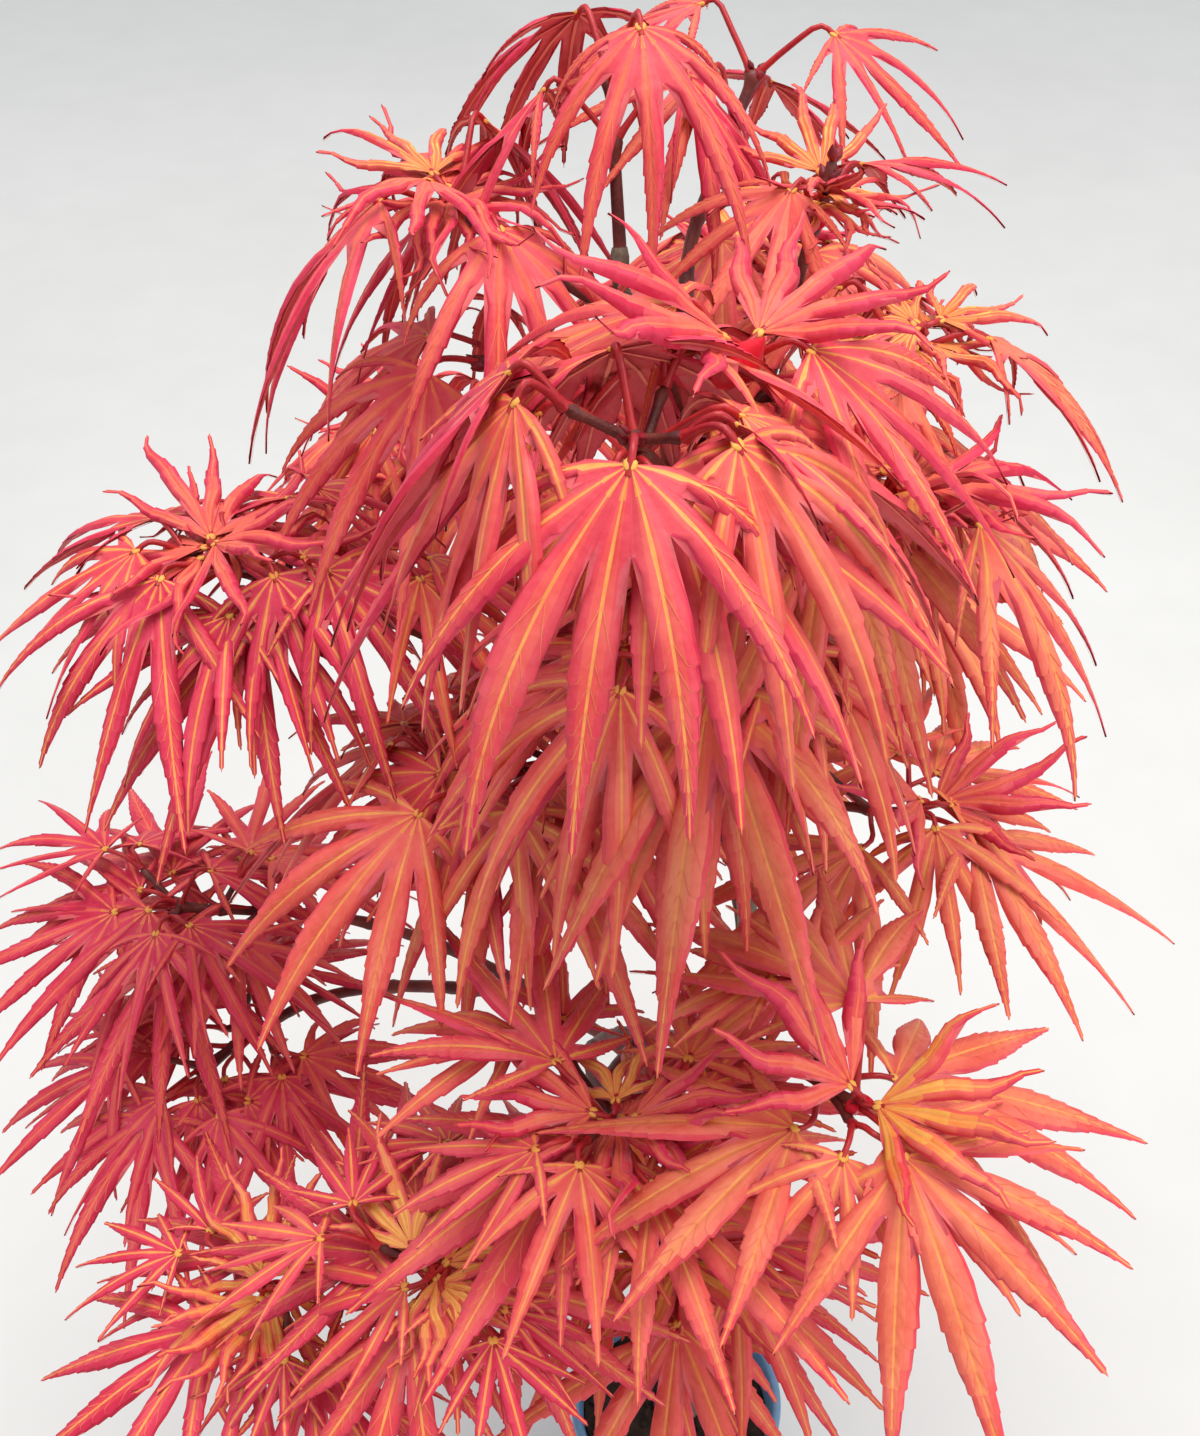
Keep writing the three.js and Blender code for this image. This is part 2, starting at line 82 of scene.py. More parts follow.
BELOW_CUT = 4.0
TRUNK_LINE = [(0, 0, GROUND - BELOW_CUT), (4, 6, 110), (13, 18, 200), (14, 26, 270),
              (7, 33, 345), (1, 37, 405), (-9, 46, 440)]
TRUNK_RADIUS, TRUNK_TIP_RADIUS, TRUNK_TIP_RUN = 4.0, 1.6, 9.0
FLARE, FLARE_HEIGHT, FLARE_RIBS = 3.2, 9.0, 4
BOUGH_ROOT_RADIUS, BOUGH_TIP_RADIUS = 2.1, 1.4
print("the trunk rises from", round(GROUND, 1), "mm")

# %% Shoots and leaves
PAIR_SPACING = 0.36
PETIOLE, PETIOLE_LIFT = (13, 9), 10
YOUNG_PETIOLE, YOUNG_LIFT, YOUNG_SIZE, YOUNG_HOLD = (7, 4), 55, 0.6, 0.55
FULL_HANG = 46
SLENDERNESS, WEB, WIDEST = 13, 0.24, 0.42
# Each lobe: its angle from the middle one, and its length as a share of the leaf's
LOBES = [(0, 1), (26, 0.95), (-26, 0.95), (54, 0.8), (-54, 0.8), (88, 0.46), (-88, 0.46)]
DOWN = np.array((0.0, 0.0, -1.0))
print("lobes of a grown leaf:", len(LOBES))

# %% [markdown]
# ## The masses of leaves
#
# Each shoot of the tree ends in a few pairs of leaves, which read as one mass from outside. Every
# leaf could be listed with its own place, but a list of hundreds is hard to check. One row for a
# mass says where its shoot ends and how it leans, and the rule does the rest.

# %% One row for a mass
Mass = namedtuple("Mass", "name tip turn rise stem pairs leaf_turn lobe droop young seed limb share")
MASSES = [Mass(*row) for row in (
    ("front_crown", (-4, -12, 474), 300, 50, 24, 1, 335, 58, 0.6, 1, 18, "trunk", 0.819),
    ("front", (-21, -40, 478), 255, 42, 24, 2, 265, 62, 0.75, 0, 19, "front_crown", 0.5),
    ("shoulder_left", (-54, 52, 472), 170, 30, 30, 2, 225, 55, 0.95, 1, 14, "trunk", 0.875),
    ("crest", (-24, 66, 492), 100, 68, 30, 2, 285, 54, 0.95, 0, 12, "trunk", 1),
    ("right", (26, 0, 440), 315, 12, 26, 3, 310, 56, 0.8, 1, 20, "trunk", 0.782),
    ("heart", (-6, -14, 414), 275, 25, 24, 3, 280, 62, 0.75, 0, 21, "trunk", 0.717),
    ("low_right", (22, -70, 352), 300, 30, 28, 2, 292, 56, 0.25, 1, 30, "trunk", 0.466),
    ("low_front", (-24, -64, 336), 280, 30, 24, 2, 300, 50, 0.25, 1, 29, "trunk", 0.41),
    ("left", (-104, 28, 404), 175, 20, 34, 3, 250, 56, 0.65, 1, 22, "trunk", 0.596),
    ("middle_left", (-50, 0, 368), 220, 15, 26, 3, 235, 58, 0.6, 0, 23, "trunk", 0.642),
    ("low_middle", (-58, -80, 308), 235, 15, 26, 2, 250, 42, 0.3, 1, 28, "low_front", 0.55),
    ("low_left", (-94, -74, 288), 200, 5, 26, 2, 215, 45, 0.3, 1, 27, "low_middle", 0.5),
    ("low_centre", (-12, -62, 288), 285, 5, 24, 2, 260, 52, 0.4, 1, 35, "low_front", 0.35),
    ("right_low", (46, 14, 344), 340, 10, 26, 2, 320, 56, 0.4, 1, 24, "trunk", 0.633),
    ("shoulder_right", (16, 52, 470), 50, 68, 30, 1, 60, 40, 0.5, 1, 16, "trunk", 0.894),
    ("right_upper", (32, 30, 453), 345, 24, 22, 2, 350, 42, 0.85, 1, 17, "trunk", 0.838),
    ("left_upper", (-50, 44, 444), 200, 12, 24, 2, 240, 54, 0.8, 0, 15, "trunk", 0.857),
    ("crest_right", (6, 92, 484), 50, 55, 28, 2, 330, 42, 0.5, 0, 13, "trunk", 0.912),
    ("far_left", (-138, 34, 288), 190, 15, 30, 3, 200, 52, 0.4, 0, 25, "trunk", 0.335),
    ("far_left_low", (-130, 2, 262), 225, 5, 26, 3, 250, 52, 0.5, 0, 26, "far_left", 0.5),
    ("rear", (10, 124, 424), 90, 35, 30, 2, 60, 56, 0.7, 1, 31, "trunk", 0.735),
    ("rear_right", (46, 96, 370), 50, 25, 30, 3, 20, 56, 0.6, 0, 32, "trunk", 0.605),
    ("rear_left", (-66, 104, 384), 135, 25, 30, 2, 120, 56, 0.6, 1, 33, "trunk", 0.652),
    ("rear_low", (6, 104, 300), 95, 10, 30, 2, 90, 56, 0.4, 0, 34, "trunk", 0.503),
)]
print("masses of leaves:", len(MASSES))

# %% [markdown]
# ## Chance and directions
#
# A plant looks alive when no two leaves are alike, but the same tree must come out of every run.
# Python's own chance could be seeded, yet its numbers differ from those of the solids' source. So
# each mass draws from one short rule with its own seed, in the order in which the solids drew.

# %% Seeded numbers
class Chance:
    def __init__(self, seed):
        self.state = (seed * 2654435761) & 0xFFFFFFFF
        self.next()
        self.next()

    def next(self):
        self.state = (self.state * 1664525 + 1013904223) & 0xFFFFFFFF
        return self.state / 4294967296

    def spread(self, reach):
        return (2 * self.next() - 1) * reach

    def over(self, least, more):
        return least + more * self.next()


print("first draw of the front crown:", round(Chance(MASSES[0].seed).next(), 4))


# %% Directions
def aim(turn, rise):
    a, b = math.radians(turn), math.radians(rise)
    return np.array((math.cos(a) * math.cos(b), math.sin(a) * math.cos(b), math.sin(b)))


def unit(v):
    return v / np.linalg.norm(v, axis=-1, keepdims=True)


def turned(v, axis, angle):
    angle = np.asarray(angle)[..., None]
    lengthwise = axis * (v @ axis)[..., None]
    return v * np.cos(angle) + np.cross(axis, v) * np.sin(angle) + lengthwise * (1 - np.cos(angle))


print("the front crown's shoot points to", np.round(aim(MASSES[0].turn, MASSES[0].rise), 2))


# %% [markdown]
# ## Limbs as curves
#
# The trunk is one smooth line, and each bough leaves its limb sideways and upwards and bends into
# its shoot. Blender's curve objects could hold them, but leaves and bark have to find a place by
# its share of the length. So a curve is kept as many short steps that can be looked up.

# %% A curve as short steps
class Curve:
    def __init__(self, places):
        self.places = places
        steps = np.linalg.norm(np.diff(places, axis=0), axis=1)
        self.run = np.concatenate(([0], np.cumsum(steps)))
        self.length = self.run[-1]

    def at(self, share):
        where = np.asarray(share) * self.length
        return np.stack([np.interp(where, self.run, self.places[:, i]) for i in range(3)], -1)

    def way(self, share):
        step = 0.5 / self.length
        share = np.asarray(share, float)
        return unit(self.at(np.clip(share + step, 0, 1)) - self.at(np.clip(share - step, 0, 1)))


def smooth_line(points, steps=40):
    """A line through all the points, with bends as round as their spacing allows."""
    p = [np.array(q, float) for q in points]
    p = [2 * p[0] - p[1], *p, 2 * p[-1] - p[-2]]
    places = []
    for a, b, c, d in zip(p, p[1:], p[2:], p[3:]):
        ta, tb, tc = (np.linalg.norm(v) ** 0.5 for v in (b - a, c - b, d - c))
        first = ((b - a) / ta - (c - a) / (ta + tb) + (c - b) / tb) * tb
        last = ((c - b) / tb - (d - b) / (tb + tc) + (d - c) / tc) * tb
        for t in np.arange(steps) / steps:
            bend = -3 * b + 3 * c - 2 * first - last
            places.append(b + first * t + bend * t**2 + (2 * b - 2 * c + first + last) * t**3)
    return Curve(np.array([*places, p[-2]]))


print("places along the trunk's line:", len(smooth_line(TRUNK_LINE).places))

# %% The trunk's and the boughs' curves
LEAVE_ALONG, ROOT_PULL, TIP_PULL, BOUGH_CURVE_STEPS = 0.6, 0.35, 0.3, 60


def head_of(mass):
    return aim(mass.turn, mass.rise)


def end_of(mass):
    return np.array(mass.tip, float)


def start_of(mass):
    return end_of(mass) - head_of(mass) * mass.stem


def bough_curve(root, limb_way, mass):
    head = head_of(mass)
    tip = start_of(mass) - head * CLEAR
    span = np.linalg.norm(tip - root)
    leave = unit(LEAVE_ALONG * limb_way + unit(tip - root))
    a, b, c, d = root, root + leave * span * ROOT_PULL, tip - head * span * TIP_PULL, tip
    t = np.linspace(0, 1, BOUGH_CURVE_STEPS)[:, None]
    return Curve(a * (1 - t) ** 3 + 3 * b * t * (1 - t) ** 2 + 3 * c * t**2 * (1 - t) + d * t**3)


leader = next(mass for mass in MASSES if mass.share == 1)
lead_head, lead_start = head_of(leader), start_of(leader)
curves = {"trunk": smooth_line(
    [*TRUNK_LINE, lead_start - lead_head * TRUNK_TIP_RUN, lead_start - lead_head * CLEAR])}
for mass in MASSES:
    if mass is not leader:
        parent = curves[mass.limb]
        curves[mass.name] = bough_curve(parent.at(mass.share), parent.way(mass.share), mass)
print("trunk length, mm:", round(curves["trunk"].length), "boughs:", len(curves) - 1)

# %% [markdown]
# ## Finishes
#
# Leaf, bark, plastic and compost all have a colour that drifts a little, an uneven gloss and fine
# relief. Each could have its own noise nodes, but the effect is the same at other scales, so it is
# built once as a node group. The Principled shader stays in each material.

# %% The shared mottle group
FINE_SCALE, FINE_SHARE, MOTTLE_FROM, MOTTLE_TO = 11, 0.35, 0.52, 0.84


def make_mottle_group():
    group = bpy.data.node_groups.new("mottle", "ShaderNodeTree")
    sockets = [("Place", "NodeSocketVector", None), ("Size", "NodeSocketFloat", 40),
               ("Plain", "NodeSocketColor", None), ("Mottled", "NodeSocketColor", None),
               ("Rough low", "NodeSocketFloat", 0.4), ("Rough high", "NodeSocketFloat", 0.6)]
    for name, kind, value in sockets:
        socket = group.interface.new_socket(name, in_out="INPUT", socket_type=kind)
        if value is not None:
            socket.default_value = value
    for name, kind in (("Colour", "NodeSocketColor"), ("Roughness", "NodeSocketFloat"),
                       ("Relief", "NodeSocketFloat")):
        group.interface.new_socket(name, in_out="OUTPUT", socket_type=kind)
    nodes, links = group.nodes, group.links
    given, made = nodes.new("NodeGroupInput"), nodes.new("NodeGroupOutput")
    broad, fine = nodes.new("ShaderNodeTexNoise"), nodes.new("ShaderNodeTexNoise")
    broad.inputs["Detail"].default_value = 4
    fine.inputs["Detail"].default_value = 3
    finer = nodes.new("ShaderNodeMath")
    finer.operation = "MULTIPLY"
    finer.inputs[1].default_value = FINE_SCALE
    links.new(given.outputs["Size"], finer.inputs[0])
    links.new(given.outputs["Size"], broad.inputs["Scale"])
    links.new(finer.outputs[0], fine.inputs["Scale"])
    for texture in (broad, fine):
        links.new(given.outputs["Place"], texture.inputs["Vector"])
    both = nodes.new("ShaderNodeMath")
    both.operation = "MULTIPLY_ADD"
    both.inputs[1].default_value = FINE_SHARE
    links.new(fine.outputs["Fac"], both.inputs[0])
    links.new(broad.outputs["Fac"], both.inputs[2])
    share = nodes.new("ShaderNodeMapRange")
    share.inputs["From Min"].default_value = MOTTLE_FROM
    share.inputs["From Max"].default_value = MOTTLE_TO
    links.new(both.outputs[0], share.inputs["Value"])
    mix = nodes.new("ShaderNodeMix")
    mix.data_type = "RGBA"
    links.new(share.outputs["Result"], mix.inputs["Factor"])
    links.new(given.outputs["Plain"], mix.inputs["A"])
    links.new(given.outputs["Mottled"], mix.inputs["B"])
    links.new(mix.outputs["Result"], made.inputs["Colour"])
    rough = nodes.new("ShaderNodeMapRange")
    links.new(fine.outputs["Fac"], rough.inputs["Value"])
    links.new(given.outputs["Rough low"], rough.inputs["To Min"])
    links.new(given.outputs["Rough high"], rough.inputs["To Max"])
    links.new(rough.outputs["Result"], made.inputs["Roughness"])
    links.new(fine.outputs["Fac"], made.inputs["Relief"])
    return group


MOTTLE = make_mottle_group()
print("nodes in the mottle group:", len(MOTTLE.nodes))


# %% A finish from two colours
def linear(red, green, blue):
    parts = [c / 255 for c in (red, green, blue)]
    return tuple(c / 12.92 if c <= 0.04045 else ((c + 0.055) / 1.055) ** 2.4 for c in parts) + (1,)


def finish(name, plain, mottled, size=40, rough=(0.4, 0.6), relief=0.2, depth=0.0004,
           specular=0.4, stretch=(1, 1, 1)):
    material = bpy.data.materials.new(name)
    material.use_nodes = True
    nodes, links = material.node_tree.nodes, material.node_tree.links
    shader = nodes["Principled BSDF"]
    shader.inputs["Specular IOR Level"].default_value = specular
    where = nodes.new("ShaderNodeTexCoord")
    mapping = nodes.new("ShaderNodeMapping")
    mapping.inputs["Scale"].default_value = stretch
    mottle = nodes.new("ShaderNodeGroup")
    mottle.node_tree = MOTTLE
    mottle.inputs["Size"].default_value = size
    mottle.inputs["Plain"].default_value = linear(*plain)
    mottle.inputs["Mottled"].default_value = linear(*mottled)
    mottle.inputs["Rough low"].default_value, mottle.inputs["Rough high"].default_value = rough
    bump = nodes.new("ShaderNodeBump")
    bump.inputs["Strength"].default_value = relief
    bump.inputs["Distance"].default_value = depth
    links.new(where.outputs["Object"], mapping.inputs["Vector"])
    links.new(mapping.outputs["Vector"], mottle.inputs["Place"])
    links.new(mottle.outputs["Colour"], shader.inputs["Base Color"])
    links.new(mottle.outputs["Roughness"], shader.inputs["Roughness"])
    links.new(mottle.outputs["Relief"], bump.inputs["Height"])
    links.new(bump.outputs["Normal"], shader.inputs["Normal"])
    return material


print("middle grey in linear light:", round(linear(128, 128, 128)[0], 3))


# %% [markdown]
# ### Leaves, twigs and buds
#
# A leaf is coral inside, crimson at its edges and tips and yellow along its midribs. One material
# with a painted pattern could show that, but a placed pattern would shift when the joined leaves
# are exported. So there are several plain tints, which are dealt out strip by strip later on.

# %% The finishes of leaves, twigs and buds
def leaf_finish(name, plain, mottled, size=60):
    return finish(name, plain, mottled, size, rough=(0.42, 0.62), relief=0.35, depth=0.0003,
                  specular=0.3)


LEAF_TINTS = {
    "wine": leaf_finish("wine_blade", (184, 26, 54), (206, 44, 70), 80),
    "crimson": leaf_finish("crimson_blade", (206, 36, 70), (224, 66, 94), 80),
    "rose": leaf_finish("rose_blade", (218, 58, 74), (232, 90, 98)),
    "coral": leaf_finish("coral_blade", (224, 74, 70), (238, 106, 96)),
    "salmon": leaf_finish("salmon_blade", (226, 90, 74), (240, 122, 100), 50),
    "orange": leaf_finish("orange_blade", (228, 104, 74), (242, 138, 100), 50),
    "amber": leaf_finish("amber_blade", (234, 122, 62), (242, 156, 86)),
    "gold": leaf_finish("gold_blade", (236, 158, 70), (246, 188, 96)),
}
VEIN_FINISH = leaf_finish("yellow_midrib", (234, 136, 74), (244, 166, 88), 90)
RED_VEIN_FINISH = leaf_finish("peach_midrib", (228, 94, 72), (240, 122, 84), 90)
SIDE_VEIN_FINISH = leaf_finish("pale_side_vein", (230, 106, 82), (238, 126, 94), 90)
KNOB_FINISH = leaf_finish("yellow_knob", (232, 150, 66), (242, 184, 88), 90)
RIB_FINISH = leaf_finish("pale_under_rib", (236, 128, 112), (244, 152, 126))
UNDER_FINISH = leaf_finish("rosy_underside", (214, 78, 92), (228, 108, 108))
STALK_FINISH = finish("red_stalk", (166, 26, 38), (196, 48, 48), 120, rough=(0.3, 0.45))
TWIG_FINISH = finish("maroon_twig", (84, 30, 30), (126, 58, 48), 150, rough=(0.35, 0.6), relief=0.4)
BUD_FINISH = finish("crimson_bud", (96, 14, 30), (150, 28, 40), 200, rough=(0.3, 0.5))
SCALE_FINISH = finish("scarlet_scale", (206, 12, 40), (232, 34, 58), 200, rough=(0.3, 0.5))
print("leaf tints:", len(LEAF_TINTS))

# %% [markdown]
# ## Trunk and boughs
#
# A young maple's stem is thin, grey-brown and finely fissured, with a ring at every old node. A
# bevelled curve would be quick but perfectly round, so each limb is a flat grid wrapped round its
# curve, whose radius swells at the nodes and carries the bark's relief.

# %% Wrap a grid round a curve
ASIDE = np.array((0.31, 0.95, 0.07))
FISSURE_ACROSS, FISSURE_ALONG = 0.9, 0.28
SAME_PLACE = 1e-6


def limb(bm, curve, radius_at, sides, steps, rough):
    made = bmesh.ops.create_grid(bm, x_segments=sides, y_segments=steps, size=0.5)["verts"]
    share = np.array([v.co.y + 0.5 for v in made])
    angle = np.array([v.co.x for v in made]) * 2 * math.pi
    ways = curve.way(share)
    right = unit(np.cross(ways, ASIDE))
    front = np.cross(right, ways)
    outward = right * np.cos(angle)[:, None] + front * np.sin(angle)[:, None]
    for v, out, centre, s, a in zip(made, outward, curve.at(share), share, angle):
        place = Vector(centre + out * radius_at(s, a))
        spot = (place.x * FISSURE_ACROSS, place.y * FISSURE_ACROSS, place.z * FISSURE_ALONG)
        v.co = (place + Vector(out) * (rough * noise.fractal(Vector(spot), 1, 2, 4))) * MM
    bmesh.ops.remove_doubles(bm, verts=made, dist=SAME_PLACE)
    left = [v for v in made if v.is_valid]
    ends = {e for v in left for e in v.link_edges if e.is_boundary}
    bmesh.ops.holes_fill(bm, edges=list(ends), sides=0)


def nodes_swell(run, spacing, height, width):
    gap = abs((run / spacing) % 1 - 0.5) * spacing
    return height * math.exp(-((spacing / 2 - gap) / width) ** 2)


# %% Put a mesh on the tree
def place_piece(name, mesh, material, nodes):
    for polygon in mesh.polygons:
        polygon.use_smooth = True
    mesh.materials.append(material)
    piece = bpy.data.objects.new(name, mesh)
    bpy.context.scene.collection.objects.link(piece)
    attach(piece, "root")
    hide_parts(*nodes)
    print(name, "faces:", len(mesh.polygons))
    return piece


def plain_mesh(name, bm):
    mesh = bpy.data.meshes.new(name)
    bm.to_mesh(mesh)
    bm.free()
    return mesh


def place_mesh(name, bm, material, nodes):
    bmesh.ops.recalc_face_normals(bm, faces=bm.faces)
    return place_piece(name, plain_mesh(name, bm), material, nodes)


# %% [markdown]
# ### The trunk
#
# The trunk leans, flares a little at its foot and ends flat on the compost. Its foot could be
# modelled flat, but the flare's ribs would pinch there. So it is grown from a little below the
# ground and cut by a plane.

# %% The trunk's bark
BARK_FINISH = finish("grey_brown_bark", (86, 72, 60), (136, 122, 104), 120, rough=(0.6, 0.9),
                     relief=0.7, depth=0.0008, stretch=(1, 1, 0.35))
TRUNK_SIDES, TRUNK_STEPS, TRUNK_ROUGH = 28, 240, 0.35
TRUNK_NODE_SPACING, TRUNK_NODE, TRUNK_NODE_WIDTH, RIB_SHARE = 34, 0.35, 1.6, 0.25


def trunk_radius(share, angle):
    height = max(0, share * curves["trunk"].length - BELOW_CUT)
    ribs = 1 + RIB_SHARE * math.cos(FLARE_RIBS * angle)
    flare = FLARE * math.exp(-height / FLARE_HEIGHT) * ribs
    swell = nodes_swell(height, TRUNK_NODE_SPACING, TRUNK_NODE, TRUNK_NODE_WIDTH)
    return TRUNK_RADIUS + (TRUNK_TIP_RADIUS - TRUNK_RADIUS) * share + flare + swell


bm = bmesh.new()
limb(bm, curves["trunk"], trunk_radius, TRUNK_SIDES, TRUNK_STEPS, TRUNK_ROUGH)
cut = {"geom": [*bm.verts, *bm.edges, *bm.faces], "plane_co": (0, 0, GROUND * MM)}
bmesh.ops.bisect_plane(bm, **cut, plane_no=(0, 0, -1), clear_outer=True)
bmesh.ops.holes_fill(bm, edges=[e for e in bm.edges if e.is_boundary], sides=0)
place_mesh("trunk_bark", bm, BARK_FINISH, ["trunk"])

# %% [markdown]
# ### Raised pores
#
# Young maple bark breathes through small pale pores that stand out as short dashes. A speckled
# material would show them in one view only, as dots of colour. Small squashed balls set round the
# trunk stand proud of it from every side.

# %% Raised pores on the bark
PORE_FINISH = finish("pale_pore", (150, 132, 108), (186, 170, 146), 300, rough=(0.7, 0.9))
PORES, PORE_SEED, PORE_RADIUS, PORE_STAND, PORE_LOWEST = 260, 11, 0.3, 0.05, GROUND + 2
PORE_ALONG, PORE_WIDTH, PORE_THICKNESS, PORE_HEIGHT = (0.02, 0.96), (1, 1), 0.7, 0.6
chance = Chance(PORE_SEED)
bm = bmesh.new()
for pore in range(PORES):
    share, angle = chance.over(*PORE_ALONG), 2 * math.pi * chance.next()
    way = curves["trunk"].way(share)
    out = turned(unit(np.cross(way, ASIDE)), way, angle)
    place = curves["trunk"].at(share) + out * (trunk_radius(share, angle) + PORE_STAND)
    if place[2] < PORE_LOWEST:
        continue
    made = bmesh.ops.create_icosphere(bm, subdivisions=1, radius=PORE_RADIUS * MM)["verts"]
    squash = chance.over(*PORE_WIDTH), PORE_THICKNESS, PORE_HEIGHT
    bmesh.ops.scale(bm, vec=squash, verts=made)
    turn = math.atan2(out[1], out[0]) + math.pi / 2
    bmesh.ops.rotate(bm, cent=(0, 0, 0), matrix=Matrix.Rotation(turn, 3, "Z"), verts=made)
    bmesh.ops.translate(bm, vec=Vector(place) * MM, verts=made)
place_mesh("bark_pores", bm, PORE_FINISH, ["trunk"])

# %% [markdown]
# ### The boughs
#
# The boughs are this year's and last year's wood, still red-brown and smooth. Each could be a
# piece of its own, but they share one bark, so they are wrapped like the trunk and joined. Each
# has a collar at its root and rings at its nodes.

# %% The boughs
BOUGH_SIDES, BOUGH_STEP, BOUGH_ROUGH = 12, 1.6, 0.16
BOUGH_NODE_SPACING, BOUGH_NODE, BOUGH_NODE_WIDTH, COLLAR, COLLAR_RUN = 22, 0.4, 1.2, 0.9, 3.5


def bough_radius(length, share):
    run = share * length
    swell = nodes_swell(run, BOUGH_NODE_SPACING, BOUGH_NODE, BOUGH_NODE_WIDTH)
    taper = BOUGH_ROOT_RADIUS + (BOUGH_TIP_RADIUS - BOUGH_ROOT_RADIUS) * share
    return taper + COLLAR * math.exp(-run / COLLAR_RUN) + swell


bm = bmesh.new()
boughs = [mass.name for mass in MASSES if mass is not leader]
for name in boughs:
    length = curves[name].length
    limb(bm, curves[name], lambda share, angle, length=length: bough_radius(length, share),
         BOUGH_SIDES, int(length / BOUGH_STEP), BOUGH_ROUGH)
place_mesh("boughs_bark", bm, TWIG_FINISH, ["bough_" + name for name in boughs])

# %% [markdown]
# ## Leaves
#
# A leaf of this kind is a fan of seven narrow lobes on a thin red stalk, and each lobe bends
# towards the ground. It could be one curved plane with a picture of a leaf, but a close view would
# show it. Here a leaf is first only a stalk, a plane and seven directions, in the solids' order of
# chance, and later each lobe becomes a small grid.

# %% The leaf rule
STALK_OUT, STALK_ALONG, PITCH_OF_LIFT = 0.8, 0.5, 0.5
PITCH_CHANCE, TURN_CHANCE, TILT_CHANCE, FAN_CHANCE = 12, 16, 20, 3.5
LENGTH_CHANCE, FACE_CHANCE, GIVE_CHANCE = 0.1, 0.12, 0.16
GIVE, GIVE_OF_DROOP, LEAST_GIVE, MOST_GIVE = 0.08, 0.72, 0.02, 0.95
ROLL, ROLL_OF_DROOP, LEAF_WIDTH, WIDTH_LOSS = 14, 26, 1.12, 0.32


def rule_leaf(chance, node, head, turn, size, droop, lift, petiole, count):
    stalk = unit(STALK_OUT * aim(turn, lift) + STALK_ALONG * head)
    base = node + stalk * petiole
    pitch = FULL_HANG * droop - PITCH_OF_LIFT * lift + chance.spread(PITCH_CHANCE)
    blade_turn = turn + chance.spread(TURN_CHANCE)
    axis = aim(blade_turn, -pitch)
    face = turned(aim(blade_turn, 90 - pitch), axis, math.radians(chance.spread(TILT_CHANCE)))
    side = np.cross(face, axis)
    length = size * (1 + chance.spread(LENGTH_CHANCE))
    lobes = []
    for fan, share in LOBES[:count]:
        angle = math.radians(fan + chance.spread(FAN_CHANCE))
        way = axis * math.cos(angle) + side * math.sin(angle) + face * chance.spread(FACE_CHANCE)
        way = unit(way)
        give = GIVE + GIVE_OF_DROOP * droop + chance.spread(GIVE_CHANCE)
        give = min(MOST_GIVE, max(LEAST_GIVE, give))
        roll = math.radians(chance.spread(ROLL + ROLL_OF_DROOP * droop))
        reach = length * share * (1 + chance.spread(LENGTH_CHANCE))
        bend = max(1e-6, math.acos(max(-1, min(1, way @ DOWN))) * give)
        lobes.append({"fan": fan, "way": way, "bend": bend, "roll": roll, "reach": reach})
    return {"node": node, "base": base, "axis": axis, "face": face, "droop": droop,
            "width": LEAF_WIDTH - WIDTH_LOSS * droop, "young": count < len(LOBES), "crumple": 1,
            "lobes": sorted(lobes, key=lambda lobe: lobe["fan"])}


sample = rule_leaf(Chance(1), np.zeros(3), aim(0, 90), 0, 60, 0.5, PETIOLE_LIFT, PETIOLE[0], 7)
print("lobes of a sample leaf, mm:", [round(lobe["reach"]) for lobe in sample["lobes"]])


# %% How the masses differ
# How slim the lobes of a mass are, and how much redder and darker its tints are than the rest:
# partly the leaves' own red, partly painted shade for the masses low at the left and far left, and
# painted light, below zero, for the masses on the right
LOOKS = {"shoulder_left": (0.74, 0.3), "left": (0.84, 0.15), "left_upper": (0.76, 0.2),
         "far_left": (0.8, 0.5), "far_left_low": (0.8, 0.5), "low_left": (0.9, 0.8),
         "low_middle": (1, 0.7), "low_front": (1, 0.3), "crest": (0.78, 0.5),
         "crest_right": (0.76, 0.3), "right_upper": (0.8, 0.1), "shoulder_right": (0.8, 0),
         "right": (0.9, -0.05), "right_low": (1, -0.3), "low_centre": (1, 0.5),
         "low_right": (1.04, -0.1)}
AMBER_YOUNG = ("shoulder_right", "right_upper", "low_middle", "low_centre", "low_left")


def dress(leaf, mass, small=False):
    # The second number is partly the leaves' own red and partly painted shade or painted light
    leaf["slim"], leaf["redness"] = LOOKS.get(mass.name, (1, 0))
    leaf["small"], leaf["amber"] = small, mass.name in AMBER_YOUNG
    return leaf


print("masses with a look of their own:", len(LOOKS))

# %% The leaves of a mass
GROWN_LOBES, YOUNG_LOBES = 7, 5
PAIR_TURN_CHANCE, YOUNG_TURN, YOUNG_TURN_CHANCE = 16, 45, 20


def pair_node(mass, pair):
    along = 1 - PAIR_SPACING * (mass.pairs - 1 - pair)
    return start_of(mass) + head_of(mass) * mass.stem * along


def pair_turn(mass, pair, side):
    return mass.leaf_turn + 90 * (mass.pairs - 1 - pair) + side


def rule_leaves(mass):
    head, chance = head_of(mass), Chance(mass.seed)
    leaves = []
    for pair in range(mass.pairs):
        for side in (0, 180):
            turn = pair_turn(mass, pair, side) + chance.spread(PAIR_TURN_CHANCE)
            petiole = chance.over(*PETIOLE)
            leaves.append(rule_leaf(chance, pair_node(mass, pair), head, turn, mass.lobe,
                                    mass.droop, PETIOLE_LIFT, petiole, GROWN_LOBES))
    for side in (0, 180) if mass.young else ():
        turn = mass.leaf_turn + YOUNG_TURN + side + chance.spread(YOUNG_TURN_CHANCE)
        petiole = chance.over(*YOUNG_PETIOLE)
        hang = max(0, mass.droop - YOUNG_HOLD)
        leaves.append(rule_leaf(chance, end_of(mass), head, turn, mass.lobe * YOUNG_SIZE, hang,
                                YOUNG_LIFT, petiole, YOUNG_LOBES))
    return leaves


leaves = [dress(leaf, mass) for mass in MASSES for leaf in rule_leaves(mass)]
print("leaves:", len(leaves), "lobes:", sum(len(leaf["lobes"]) for leaf in leaves))

